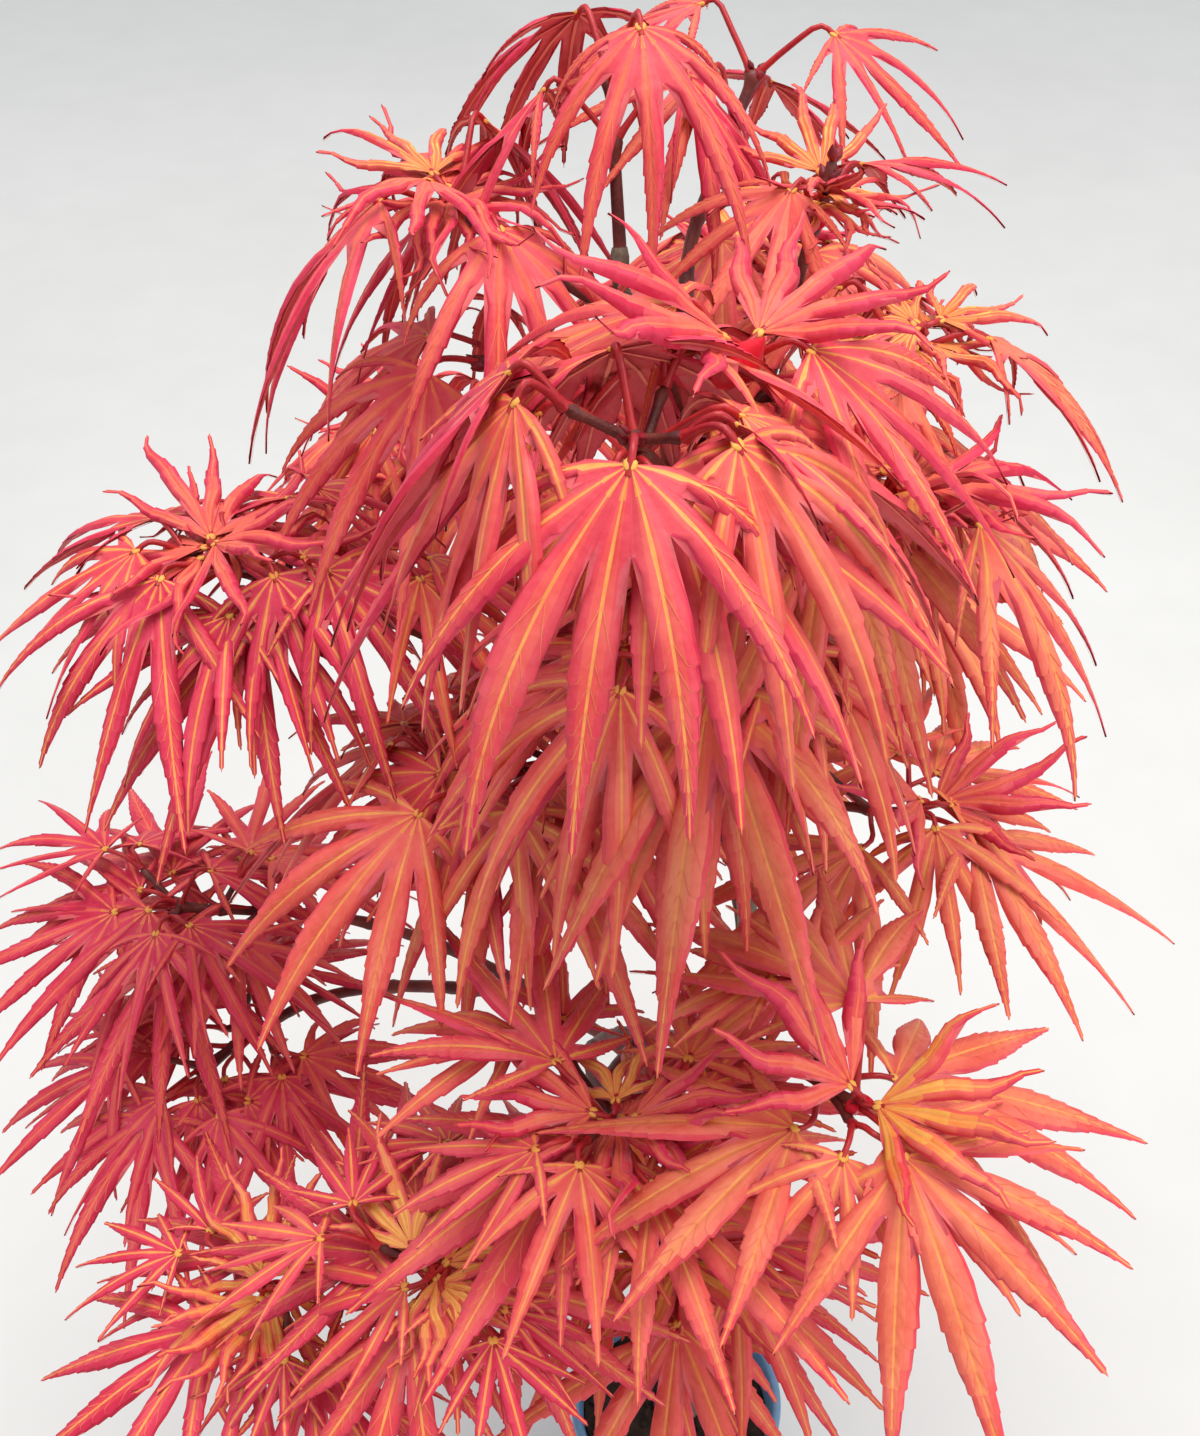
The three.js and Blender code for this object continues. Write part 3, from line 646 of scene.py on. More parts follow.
# %% [markdown]
# ### Finer twigs
#
# Within its mass a real shoot carries short side twigs with smaller leaves, and crumpled young
# ones at its tip. They could be scattered at random over the crown, but would float. So they grow
# from the same shoots by the same rule, fewer where the crown is open, and stay in the reach.

# %% Side twigs
# What is added to a mass's seed for its side twigs, its tangle and its bud scales
SIDE_SEED, TANGLE_SEED, SCALE_SEED = 200, 300, 400
# How many pairs of side twigs an open mass has; the others have one pair at every pair of leaves
OPEN_MASSES = {"crest_right": 0, "shoulder_right": 0, "right_upper": 0, "crest": 0,
               "shoulder_left": 0, "right": 1, "left_upper": 0, "front_crown": 0, "low_right": 1,
               "right_low": 1}
FINE_MASSES = ("low_front", "low_middle", "low_left", "low_right")
TWIG_TURN_CHANCE, TWIG_RISE, TWIG_RISE_CHANCE, TWIG_ALONG, TWIG_LENGTH = 20, 20, 15, 0.4, (9, 6)
SIDE_PETIOLE, SIDE_SIZE, FINE_SIZE, SIDE_LIFT = (7, 5), (0.7, 0.2), (0.5, 0.2), 15
SIDE_LEAN, SIDE_TURN_CHANCE, SIDE_HANG, SIDE_HANG_CHANCE = 42, 14, 0.1, 0.15


def side_twigs(mass):
    head, chance = head_of(mass), Chance(mass.seed + SIDE_SEED)
    sizes = FINE_SIZE if mass.name in FINE_MASSES else SIDE_SIZE
    twigs, grown = [], []
    for pair in range(min(mass.pairs, OPEN_MASSES.get(mass.name, mass.pairs))):
        node = pair_node(mass, pair)
        for side in (90, 270):
            turn = pair_turn(mass, pair, side) + chance.spread(TWIG_TURN_CHANCE)
            rise = TWIG_RISE + chance.spread(TWIG_RISE_CHANCE)
            way = unit(aim(turn, rise) + TWIG_ALONG * head)
            tip = node + way * chance.over(*TWIG_LENGTH)
            twigs.append((node, tip))
            for lean in (-SIDE_LEAN, SIDE_LEAN):
                petiole = chance.over(*SIDE_PETIOLE)
                scale = mass.lobe * chance.over(*sizes)
                hang = min(1, mass.droop + SIDE_HANG + chance.spread(SIDE_HANG_CHANCE))
                leaf_way = turn + lean + chance.spread(SIDE_TURN_CHANCE)
                grown.append(rule_leaf(chance, tip, way, leaf_way, scale, hang, SIDE_LIFT,
                                       petiole, GROWN_LOBES))
    return twigs, grown


print("side twigs of the heart:", len(side_twigs(MASSES[5])[0]))

# %% Tangles of young leaves
NOT_TANGLED = ("front_crown", "low_right", "right_low")
TANGLE_LEAVES, TANGLE_CRUMPLE, TANGLE_TURN_CHANCE, TANGLE_LIFT_CHANCE = 5, 2.2, 30, 20
TANGLE_SIZE, TANGLE_HANG, TANGLE_PETIOLE = (0.42, 0.24), (0.1, 0.55), (3, 5)


def tangle(mass):
    head, chance = head_of(mass), Chance(mass.seed + TANGLE_SEED)
    grown = []
    for step in range(TANGLE_LEAVES if mass.young and mass.name not in NOT_TANGLED else 0):
        turn = mass.leaf_turn + 360 / TANGLE_LEAVES * step + chance.spread(TANGLE_TURN_CHANCE)
        scale = mass.lobe * chance.over(*TANGLE_SIZE)
        hang = chance.over(*TANGLE_HANG)
        petiole = chance.over(*TANGLE_PETIOLE)
        lift = YOUNG_LIFT + chance.spread(TANGLE_LIFT_CHANCE)
        leaf = rule_leaf(chance, end_of(mass), head, turn, scale, hang, lift, petiole, YOUNG_LOBES)
        leaf["crumple"] = TANGLE_CRUMPLE
        grown.append(leaf)
    return grown


print("tangled masses:", sum(len(tangle(mass)) > 0 for mass in MASSES))


# %% [markdown]
# ### One lobe
#
# A lobe narrows at the web between neighbours, is widest before the middle and runs out to a long
# point, with a groove along its midrib, an edge that turns under and small teeth that point
# forwards. A subdivided plane would lose the teeth. So the rows of the grid lie where the outline
# needs them: from the first tooth on, each tooth takes two rows, a slow rise and a quick drop.

# %% The rows and columns of a lobe
FIRST_TOOTH, LAST_TOOTH, TOOTH_PEAK, TOOTH_SHARE, TOOTH_HEIGHT = 0.48, 0.985, 0.88, 0.08, 0.25
BELOW_TEETH = [0.02, 0.09, 0.17, WEB, 0.29, 0.35, 0.42]
OUTLINE_AT = [WEB, 0.29, 0.35, 0.42, 0.52, 0.62, 0.7, 0.78, 0.86, 0.93, 0.97, 1]
OUTLINE = [0.68, 0.8, 0.93, 1, 0.93, 0.76, 0.58, 0.41, 0.27, 0.18, 0.12, 0.015]
ACROSS = np.array([-1, -0.84, -0.42, -0.1, 0, 0.1, 0.42, 0.84, 1])
PULL_IN = np.array([0.84, 0.92, 1, 1, 1, 1, 1, 0.92, 0.84])
RISE = np.array([-0.42, -0.08, 0.15, 0.09, 0, 0.09, 0.15, -0.08, -0.42])
MIDDLE = 4


def lobe_rows(teeth):
    step = (LAST_TOOTH - FIRST_TOOTH) / teeth
    rows, tooth = list(BELOW_TEETH), [0] * len(BELOW_TEETH)
    for i in range(teeth):
        rows += [FIRST_TOOTH + i * step, FIRST_TOOTH + (i + TOOTH_PEAK) * step]
        tooth += [0, 1]
    rows, tooth = np.array([*rows, LAST_TOOTH, 1.0]), np.array([*tooth, 0, 0], float)
    return {"share": rows, "tooth": tooth, "outline": np.interp(rows, OUTLINE_AT, OUTLINE),
            "palm": rows <= WEB + 1e-9}


GROWN_ROWS, SMALL_ROWS = lobe_rows(8), lobe_rows(5)
print("rows of a grown lobe:", len(GROWN_ROWS["share"]), "columns:", len(ACROSS))


# %% The line of a lobe's midrib
def midrib(leaf, lobe, share):
    way, bend, reach = lobe["way"], lobe["bend"], lobe["reach"]
    fall = unit(DOWN - way * (DOWN @ way))
    hinge = unit(np.cross(way, fall))
    place = leaf["base"] + np.outer(reach * np.sin(bend * share) / bend, way)
    place = place + np.outer(reach * (1 - np.cos(bend * share)) / bend, fall)
    side = np.broadcast_to(unit(np.cross(leaf["face"], way)), place.shape)
    side = turned(side, way, lobe["roll"] * np.minimum(1, share / WIDEST))
    side = turned(side, hinge, bend * share)
    forward = turned(np.broadcast_to(way, place.shape), hinge, bend * share)
    return place, side, np.cross(forward, side)


sample_line = midrib(sample, sample["lobes"][3], np.array([0.0, 1.0]))[0]
print("the sample's middle lobe runs from", np.round(sample_line[0]), "to", np.round(sample_line[1]))

# %% Sway, curl and teeth
CURL, CURL_OF_YOUNG, CURL_OF_DROOP, CURL_LOSS = 0.75, 0.8, 0.5, 0.5
SWEEP, WANDER, FINE_WANDER, YOUNG_RISE, EDGE_WAVE = 0.07, 0.035, 0.02, 0.1, 0.12
TOOTH_DIP, WEB_RELIEF = 0.07, 0.8


def sway(leaf, index, ripple, share, place, side, out):
    """Bend a lobe like a sickle, and make a young one wander."""
    reach = leaf["lobes"][index]["reach"]
    sweep = SWEEP * math.sin(5 * ripple + 2.7 * index) * reach * np.maximum(0, share - WEB) ** 2
    place = place + side * sweep[:, None]
    if leaf["young"]:
        far = share * reach * leaf["crumple"]
        coarse, fine = np.sin(ripple * 2 + 7 * share), np.sin(ripple * 3 + 15 * share)
        wander = far * (WANDER * coarse + FINE_WANDER * fine)
        rise = far * share * YOUNG_RISE * np.sin(ripple + 2.4 * index + 5 * share)
        place = place + side * wander[:, None] + out * rise[:, None]
    return place


def lobe_edge(leaf, index, sign, rows, place, side, half):
    """The edge on one side: teeth beyond the web, and the line between two lobes within it."""
    share, beside = rows["share"], index + sign
    teeth = rows["tooth"] * (TOOTH_SHARE * half + TOOTH_HEIGHT)
    edge = place + side * (sign * (half + teeth))[:, None]
    narrow = place + side * (sign * half * share / WEB)[:, None]
    if 0 <= beside < len(leaf["lobes"]):
        narrow = 0.5 * (place + midrib(leaf, leaf["lobes"][beside], share)[0])
    return np.where(rows["palm"][:, None], narrow, edge)


# %% The grid of one lobe
MIDRIB_WIDTH, MIDRIB_LOSS, MIDRIB_MOST, MIDRIB_SHARE, MIDRIB_RISE = 0.58, 0.42, 0.4, 0.6, 0.04
SLIMMEST = 0.2


def lobe_grid(leaf, index, ripple, rows):
    lobe, share, palm = leaf["lobes"][index], rows["share"], rows["palm"]
    place, side, out = midrib(leaf, lobe, share)
    half = lobe["reach"] / SLENDERNESS * leaf["width"] * rows["outline"] * leaf["slim"]
    curl = CURL + CURL_OF_YOUNG * leaf["young"] + CURL_OF_DROOP * leaf["droop"]
    curl = curl * (1 - CURL_LOSS * share**2)
    place = sway(leaf, index, ripple, share, place, side, out)
    grid = np.zeros((len(share), len(ACROSS), 3))
    for sign, columns in ((-1, range(0, MIDDLE + 1)), (1, range(MIDDLE, len(ACROSS)))):
        edge = lobe_edge(leaf, index, sign, rows, place, side, half)
        wave = np.sin(ripple + 8 * share + sign) * EDGE_WAVE * curl
        for column in columns:
            t = abs(ACROSS[column])
            lift = RISE[column] * curl + wave * t * t
            lift = lift - TOOTH_DIP * (column in (2, 6)) * rows["tooth"]
            lift = np.where(palm, WEB_RELIEF * share / WEB * lift * (t < 1), lift)
            pull = np.where(palm, 1, 1 - (1 - PULL_IN[column]) * curl)
            across = (edge - place) * (t * pull)[:, None]
            grid[:, column] = place + across + out * (lift * half)[:, None]
    width = (MIDRIB_WIDTH - MIDRIB_LOSS * share) / np.maximum(SLIMMEST, half)
    width = np.minimum(MIDRIB_MOST, width)
    for sign in (-1, 1):
        toward = (grid[:, MIDDLE + 2 * sign] - grid[:, MIDDLE]) / ACROSS[MIDDLE + 2]
        beside = grid[:, MIDDLE] + toward * width[:, None] * MIDRIB_SHARE
        grid[:, MIDDLE + sign] = beside + out * (MIDRIB_RISE * half)[:, None]
    return grid, out


sample_grid = lobe_grid(dress(sample, MASSES[0]), 3, 0, GROWN_ROWS)[0]
print("rows and columns of the sample's middle lobe:", sample_grid.shape[:2])


# %% [markdown]
# ### Joining the strips
#
# Thousands of lobes as objects of their own would be slow, so all strips of one tint are joined
# from arrays. The strips of one lobe go to several pieces, and each piece alone would shade its
# own edges and show a crease. Every strip therefore carries the normals of its whole lobe.

# %% Joined sheets of many grids
def grid_normals(grid):
    down, across = np.gradient(grid, axis=0), np.gradient(grid, axis=1)
    return unit(np.cross(across, down) + 1e-9)


class Sheet:
    def __init__(self):
        self.places, self.faces, self.normals, self.count = [], [], [], 0

    def add(self, grid, closed=False, normals=None):
        if normals is not None:
            self.normals.append(normals.reshape(-1, 3))
        rows, columns = grid.shape[:2]
        index = np.arange(rows * columns).reshape(rows, columns) + self.count
        right = np.roll(index, -1, 1) if closed else index[:, 1:]
        left = index if closed else index[:, :-1]
        quads = np.stack([left[:-1], right[:-1], right[1:], left[1:]], -1).reshape(-1, 4)
        self.places.append(grid.reshape(-1, 3))
        self.faces.append(quads)
        self.count += rows * columns

    def piece(self, name, material, slot):
        mesh = bpy.data.meshes.new(name)
        places, faces = np.concatenate(self.places) * MM, np.concatenate(self.faces)
        mesh.vertices.add(len(places))
        mesh.vertices.foreach_set("co", places.astype(np.float32).ravel())
        mesh.loops.add(faces.size)
        mesh.loops.foreach_set("vertex_index", faces.astype(np.int32).ravel())
        mesh.polygons.add(len(faces))
        mesh.polygons.foreach_set("loop_start", np.arange(0, faces.size, 4, dtype=np.int32))
        mesh.update(calc_edges=True)
        place_piece(name, mesh, material, ["leaves_" + mass.name for mass in MASSES])
        if self.normals:
            mesh.normals_split_custom_set_from_vertices(np.concatenate(self.normals))


# %% A tube from rings
TUBE_ASIDE = np.array((0.37, 0.21, 0.9))


def tube(places, radii, sides=6):
    places = np.asarray(places, float)
    ways = unit(np.gradient(places, axis=0))
    right = unit(np.cross(ways, TUBE_ASIDE))
    front = np.cross(right, ways)
    angle = np.arange(sides) * 2 * math.pi / sides
    ring = right[:, None] * np.cos(angle)[None, :, None]
    ring = ring + front[:, None] * np.sin(angle)[None, :, None]
    return places[:, None] + ring * np.asarray(radii, float)[:, None, None]


# %% All the leaves
BOX_REACH = 2


def inside(leaf):
    """Whether a small leaf keeps to the box of the solids, within a little reach."""
    tips = np.array([midrib(leaf, lobe, np.array([0.6, 1.0]))[0] for lobe in leaf["lobes"]])
    low, high = (np.array(corner) / MM for corner in cad_box)
    return (tips > low - BOX_REACH).all() and (tips < high + BOX_REACH).all()


twigs = []
for mass in MASSES:
    mass_twigs, grown = side_twigs(mass)
    twigs += mass_twigs
    small_leaves = [dress(leaf, mass, small=True) for leaf in grown + tangle(mass)]
    leaves += [leaf for leaf in small_leaves if inside(leaf)]
print("with the finer twigs:", len(leaves))

# %% [markdown]
# ### Dealing out the tints
#
# On the tree a lobe reddens from its edge inwards and from its base to its tip. Leaves higher up
# and to the left get redder, darker tints and those to the right more orange ones, partly their own
# colour and partly painted shade on the left and painted light on the right. A gradient texture
# would lose its place in the export.
# So every strip goes to the sheet of one tint, and the inner strips change a little later than
# the outer ones, so that no straight line crosses a lobe.

# %% Tints across and along a lobe
# From the midrib outwards: the inner strip, the outer strip and the edge
PALETTES = {
    "deep": ("rose", "crimson", "wine"),
    "deep_tip": ("crimson", "wine", "wine"),
    "tip": ("rose", "crimson", "crimson"),
    "rose": ("coral", "rose", "crimson"),
    "coral": ("salmon", "coral", "rose"),
    "salmon": ("orange", "salmon", "rose"),
    "orange": ("orange", "salmon", "coral"),
    "gold": ("gold", "amber", "coral"),
    "amber": ("amber", "salmon", "rose"),
    "peach": ("orange", "coral", "rose"),
}
# The palettes from a lobe's base to its tip, and the rows at which they change
ZONES = {"amber_young": ("gold", "amber", "peach", "rose"),
         "red_young": ("coral", "rose", "tip", "tip"),
         "deep": ("deep", "deep", "deep_tip"), "rose": ("rose", "rose", "tip"),
         "coral": ("coral", "coral", "rose"), "salmon": ("salmon", "coral", "rose"),
         "orange": ("orange", "salmon", "coral")}
YOUNG_STEPS, GROWN_STEPS = (0, 4, 7, 11, 99), (0, 13, 18, 99)
# A grown leaf takes the first zones whose measure of redness and painted shade it passes
REDNESS_AND_SHADE_STEPS = (("deep", 0.95), ("rose", 0.62), ("coral", 0.2), ("salmon", -0.2), ("orange", -9))
AMBER_CHANCE, DEAL_SEED = 0.15, 101
deal = Chance(DEAL_SEED)


def zones_of(leaf):
    if leaf["young"]:
        return "amber_young" if leaf["amber"] or deal.next() < AMBER_CHANCE else "red_young"
    place = leaf["base"]
    # Redder higher up and to the left, more orange to the right: partly the leaves' own colour,
    # partly painted shade on the left and painted light on the right
    redness = deal.next() * 0.7 + (place[2] - 380) / 400 - (place[0] + 30) / 200 + leaf["redness"]
    return next(zones for zones, least in REDNESS_AND_SHADE_STEPS if redness > least)


print("palettes:", len(PALETTES), "courses of palettes:", len(ZONES))

# %% Deal the strips of one lobe
PALM_ROWS = 4
# Each kind of strip: its columns, where it starts, and how many rows later it reddens
STRIPS = ((((2, 4), (5, 7)), 1, 2), (((1, 3), (6, 8)), 0, 0), (((0, 2), (7, 9)), PALM_ROWS - 1, -1))
blades = {tint: Sheet() for tint in LEAF_TINTS}
print("sheets for the blades:", len(blades))


def deal_strip(tint, grid, normals, first, last, columns):
    if last > first:
        part = slice(first, last + 1), slice(*columns)
        blades[tint].add(grid[part], normals=normals[part])


def deal_lobe(zones, grid, normals):
    steps = YOUNG_STEPS if len(ZONES[zones]) == 4 else GROWN_STEPS
    shades = [PALETTES[palette] for palette in ZONES[zones]]
    for kind, (pairs, start, later) in enumerate(STRIPS):
        for columns in pairs:
            heel = "amber" if kind == 0 else shades[0][1]
            deal_strip(heel, grid, normals, 0, start, columns)
            for shade, first, last in zip(shades, steps, steps[1:]):
                from_row = max(start, first + later) if first else start
                deal_strip(shade[kind], grid, normals, from_row, min(last + later, len(grid) - 1),
                           columns)


# %% [markdown]
# ### Undersides and side veins
#
# From below the leaves are rosy and duller, with a raised pale rib, and a close view shows side
# veins that run to the teeth. Solidify would double every face of the top. So the underside is a
# coarser sheet of every third row, a little below, and a side vein is a strip of two faces.

# %% Below and beside the midrib
UNDER_DEPTH, RIB_WIDTH, RIB_DEPTH = 0.35, 0.35, 0.2
VEIN_ROWS_SKIPPED, VEIN_WIDTH, VEIN_TIP, VEIN_LIFT = 5, 0.09, 0.3, 0.1
unders, under_ribs, side_veins = Sheet(), Sheet(), Sheet()


def add_underside(grid, out, normals):
    lower, sunk = grid[::3, ::2].copy(), out[::3]
    lower[:, 1:4] -= UNDER_DEPTH * sunk[:, None]
    unders.add(lower[:, ::-1], normals=-normals[::3, ::2][:, ::-1])
    spine = lower[:, 2]
    beside = RIB_WIDTH * unit(lower[:, 3] - lower[:, 1])
    beside = beside * (1 - np.linspace(0, 0.8, len(spine)))[:, None]
    rib = np.stack([spine - beside, spine + beside], 1) - RIB_DEPTH * sunk[:, None]
    under_ribs.add(rib[:, ::-1])


def add_side_veins(grid, out):
    for row in range(VEIN_ROWS_SKIPPED, len(grid) - VEIN_ROWS_SKIPPED, 2):
        for inner, outer in ((3, 1), (5, 7)):
            root, mid = grid[row, inner], grid[row + 1, (inner + outer) // 2]
            tip = grid[row + 2, outer]
            across = unit(np.cross(out[row], tip - root)) * VEIN_WIDTH
            strip = np.array([[root - across, root + across], [mid - across, mid + across],
                              [tip - across * VEIN_TIP, tip + across * VEIN_TIP]])
            side_veins.add(strip + out[row] * VEIN_LIFT)


# %% Grow every lobe
RED_VEIN_SLIMNESS = 0.82
veins, red_veins = Sheet(), Sheet()
for leaf in leaves:
    zones = zones_of(leaf)
    ripple = 6 * deal.next()
    rows = SMALL_ROWS if leaf["young"] or leaf["small"] else GROWN_ROWS
    red = leaf["slim"] < RED_VEIN_SLIMNESS or zones == "red_young"
    for index in range(len(leaf["lobes"])):
        grid, out = lobe_grid(leaf, index, ripple + index, rows)
        normals = grid_normals(grid)
        deal_lobe(zones, grid, normals)
        (red_veins if red else veins).add(grid[:, 3:6:2], normals=normals[:, 3:6:2])
        add_underside(grid, out, normals)
        if rows is GROWN_ROWS:
            add_side_veins(grid, out)

for tint, sheet in blades.items():
    sheet.piece("blades_" + tint, LEAF_TINTS[tint], "leaf")
veins.piece("leaf_midribs", VEIN_FINISH, "leaf")
red_veins.piece("leaf_red_midribs", RED_VEIN_FINISH, "leaf")
side_veins.piece("leaf_side_veins", SIDE_VEIN_FINISH, "leaf")

# %% [markdown]
# ### Stalks and knobs
#
# Each leaf hangs on a thin red stalk that swells where it leaves the twig, and ends in a small
# yellow knob where the lobes meet. Bevelled curves would give hundreds of objects, so both are
# tubes of a few rings, joined like the blades.

# %% Stalks and knobs
STALK_RADII_AT, STALK_RADII = [0, 0.12, 0.8, 1], [1.2, 0.7, 0.6, 0.85]
NEAR_NODE, NEAR_HEEL, STALK_RISE, STALK_STEPS = 0.45, 0.55, (0, 0, 0.8), 3
HEEL, STALK_UNDER, STALK_BELOW = 3, 1.5, 0.6
KNOB_HEIGHTS, KNOB_RADII = (-0.4, 0.1, 0.3, 0.36), [0.85, 1.1, 0.75, 0.05]
stalks, knobs = Sheet(), Sheet()
for leaf in leaves:
    heel = leaf["base"] - leaf["axis"] * HEEL
    middle = leaf["node"] * NEAR_NODE + heel * NEAR_HEEL + STALK_RISE
    end = leaf["base"] + leaf["axis"] * STALK_UNDER - leaf["face"] * STALK_BELOW
    line = smooth_line([leaf["node"], middle, heel, end], STALK_STEPS).places
    radii = np.interp(np.linspace(0, 1, len(line)), STALK_RADII_AT, STALK_RADII)
    stalks.add(tube(line, radii), closed=True)
    knob = leaf["base"] + np.array([leaf["face"] * height for height in KNOB_HEIGHTS])
    knobs.add(tube(knob, KNOB_RADII, 8), closed=True)

knobs.piece("leaf_knobs", KNOB_FINISH, "leaf")
under_ribs.piece("leaf_under_ribs", RIB_FINISH, "leaf")
unders.piece("leaf_undersides", UNDER_FINISH, "leaf")
stalks.piece("leaf_stalks", STALK_FINISH, "leaf")

# %% [markdown]
# ### Shoots and buds
#
# A shoot tapers from its bough to its last pair of leaves and thickens at every pair, where two
# small dark buds sit. A shoot without young leaves ends in two buds, and one with them still
# holds the scarlet scales of its bud. Drop-shaped tubes give them all, at several sizes.

# %% A bud or scale
BUD_RUN, BUD_RADII = [-0.5, 0.15, 0.6, 1.1, 1.9, 2.6], [0.5, 0.8, 0.95, 0.85, 0.45, 0.03]
BUD_SIDES, SIDE_BUD, END_BUD, SPUR_BUD, SCALE, FRONT_SCALE = 8, 0.75, 1.35, 1.2, 1.6, 3.6
# The front crown's red scales stand in front of its shoot's tip
FRONT_SCALE_PLACE = (-1.2, -2.6, 0.6)
shoots, buds, scales = Sheet(), Sheet(), Sheet()


def add_bud(sheet, place, way, size):
    run, radii = np.array(BUD_RUN)[:, None], np.array(BUD_RADII) * size
    sheet.add(tube(place + way * run * size, radii, BUD_SIDES), closed=True)


print("length of a side bud, mm:", round((BUD_RUN[-1] - BUD_RUN[0]) * SIDE_BUD, 1))

# %% The shoots and their side buds
SHOOT_STEPS, SHOOT_SIDES, SHOOT_BELOW, SHOOT_END_RADIUS, TIP_RADIUS = 30, 8, -1.5, 1.15, 0.05
PAIR_SWELL, PAIR_SWELL_WIDTH = 0.7, 1.5
BUD_RISE, BUD_ALONG, BUD_ABOVE, BUD_OUT = 20, 0.9, 0.8, 1.3
SPURS, PLAIN_SPUR = {"shoulder_right": 13}, 2


def add_shoot(mass):
    head, start = head_of(mass), start_of(mass)
    run = np.linspace(SHOOT_BELOW, mass.stem + SPURS.get(mass.name, PLAIN_SPUR), SHOOT_STEPS)
    taper = np.interp(run, [0, mass.stem], [BOUGH_TIP_RADIUS, SHOOT_END_RADIUS])
    for pair in range(mass.pairs):
        at = mass.stem * (1 - PAIR_SPACING * (mass.pairs - 1 - pair))
        taper = taper + PAIR_SWELL * np.exp(-((run - at) / PAIR_SWELL_WIDTH) ** 2)
        for side in (45, 225):
            way = unit(aim(pair_turn(mass, pair, side), BUD_RISE) + BUD_ALONG * head)
            add_bud(buds, start + head * (at + BUD_ABOVE) + way * BUD_OUT, way, SIDE_BUD)
    taper[-1] = TIP_RADIUS
    shoots.add(tube(start + run[:, None] * head, taper, SHOOT_SIDES), closed=True)


# %% The buds and scales at a shoot's tip
END_LEAN, END_APART = 0.45, 0.8
SCALE_LEAN, SCALE_APART, SCALE_LIFT = (0.2, 0.2), 0.9, 0.3
SPUR_STEPS, SPUR_TWIST, SPUR_LEAN, SPUR_OUT = (4, 8, 12), 0.4, 0.8, 0.8


def add_tip(mass):
    head, end, chance = head_of(mass), end_of(mass), Chance(mass.seed + SCALE_SEED)
    sideways = unit(np.cross(head, DOWN + 0.01))
    front = mass.name == "front_crown"
    place = end + np.array(FRONT_SCALE_PLACE) if front else end
    for lean in (-1, 1):
        if mass.young:
            way = head + sideways * chance.over(*SCALE_LEAN) * lean - DOWN * SCALE_LIFT
            add_bud(scales, place + sideways * SCALE_APART * lean, unit(way),
                    FRONT_SCALE if front else SCALE)
        else:
            way = unit(head + sideways * END_LEAN * lean)
            add_bud(buds, end + sideways * END_APART * lean, way, END_BUD)
    for step in SPUR_STEPS if mass.name in SPURS else ():
        for lean in (-1, 1):
            way = unit(head + turned(sideways, head, step * SPUR_TWIST) * SPUR_LEAN * lean)
            add_bud(buds, end + head * step + way * SPUR_OUT, way, SPUR_BUD)


# %% All the shoots and side twigs
TWIG_RADII = [1.25, 1.0, 0.9, 0.85, 0.85, 1.15, TIP_RADIUS]
TWIG_FROM, TWIG_TO, TWIG_SIDES = -0.05, 1.06, 7
for mass in MASSES:
    add_shoot(mass)
    add_tip(mass)
for node, tip in twigs:
    places = node + np.linspace(TWIG_FROM, TWIG_TO, len(TWIG_RADII))[:, None] * (tip - node)
    shoots.add(tube(places, TWIG_RADII, TWIG_SIDES), closed=True)
print("shoots and side twigs:", len(shoots.places), "buds:", len(buds.places))

shoots.piece("shoots", TWIG_FINISH, "twig")
buds.piece("buds", BUD_FINISH, "twig")
scales.piece("bud_scales", SCALE_FINISH, "leaf")

# %% [markdown]
# ## The pot
#
# Only the pot's rim shows between the leaves: thin light blue plastic with a greyish worn edge.
# It could be a cylinder with a thickness, but then its lip and its rounded edges would be
# missing. A thin-walled pot is turned, so its profile is spun round the upright axis.

# %% Spin a profile
SPIN_MERGE = 5e-6


def spun(profile, steps):
    bm = bmesh.new()
    line = [bm.verts.new((radius * MM, 0, height * MM)) for radius, height in profile]
    for a, b in zip(line, line[1:]):
        bm.edges.new((a, b))
    bmesh.ops.spin(bm, geom=[*bm.verts, *bm.edges], cent=(0, 0, 0), axis=(0, 0, 1),
                   angle=2 * math.pi, steps=steps, use_merge=True)
    bmesh.ops.remove_doubles(bm, verts=bm.verts, dist=SPIN_MERGE)
    return bm


# %% The pot
POT_FINISH = finish("blue_plastic", (86, 128, 164), (116, 146, 176), 30, rough=(0.3, 0.5),
                    relief=0.15)
POT_STEPS, COMPOST_STEPS, AXIS = 96, 90, 0.001
foot = POT_HEIGHT - POT_LIP_HEIGHT
profile = [(AXIS, 0), (POT_FOOT - 1.2, 0), (POT_FOOT, 1.2), (POT_RIM - POT_LIP, foot),
           (POT_RIM - 0.5, foot + 0.4), (POT_RIM, foot + 1.2), (POT_RIM, POT_HEIGHT - 1.2),
           (POT_RIM - 0.5, POT_HEIGHT - 0.2), (POT_RIM - 1.3, POT_HEIGHT),
           (POT_RIM - POT_LIP, POT_HEIGHT - 0.3), (POT_RIM - POT_LIP - 0.6, POT_HEIGHT - 1.2),
           (POT_RIM - POT_LIP - POT_WALL, foot), (POT_FOOT - POT_WALL, POT_WALL), (AXIS, POT_WALL)]
pot_shell = place_mesh("pot_shell", spun(profile, POT_STEPS), POT_FINISH, ["pot"])

# %% [markdown]
# ### Its drain holes
#
# The foot has four round holes for water. They could be bridged by hand between the two faces of
# the foot, but a Boolean with four short cylinders is quicker and leaves clean walls. It is
# applied at once and its cutter removed.

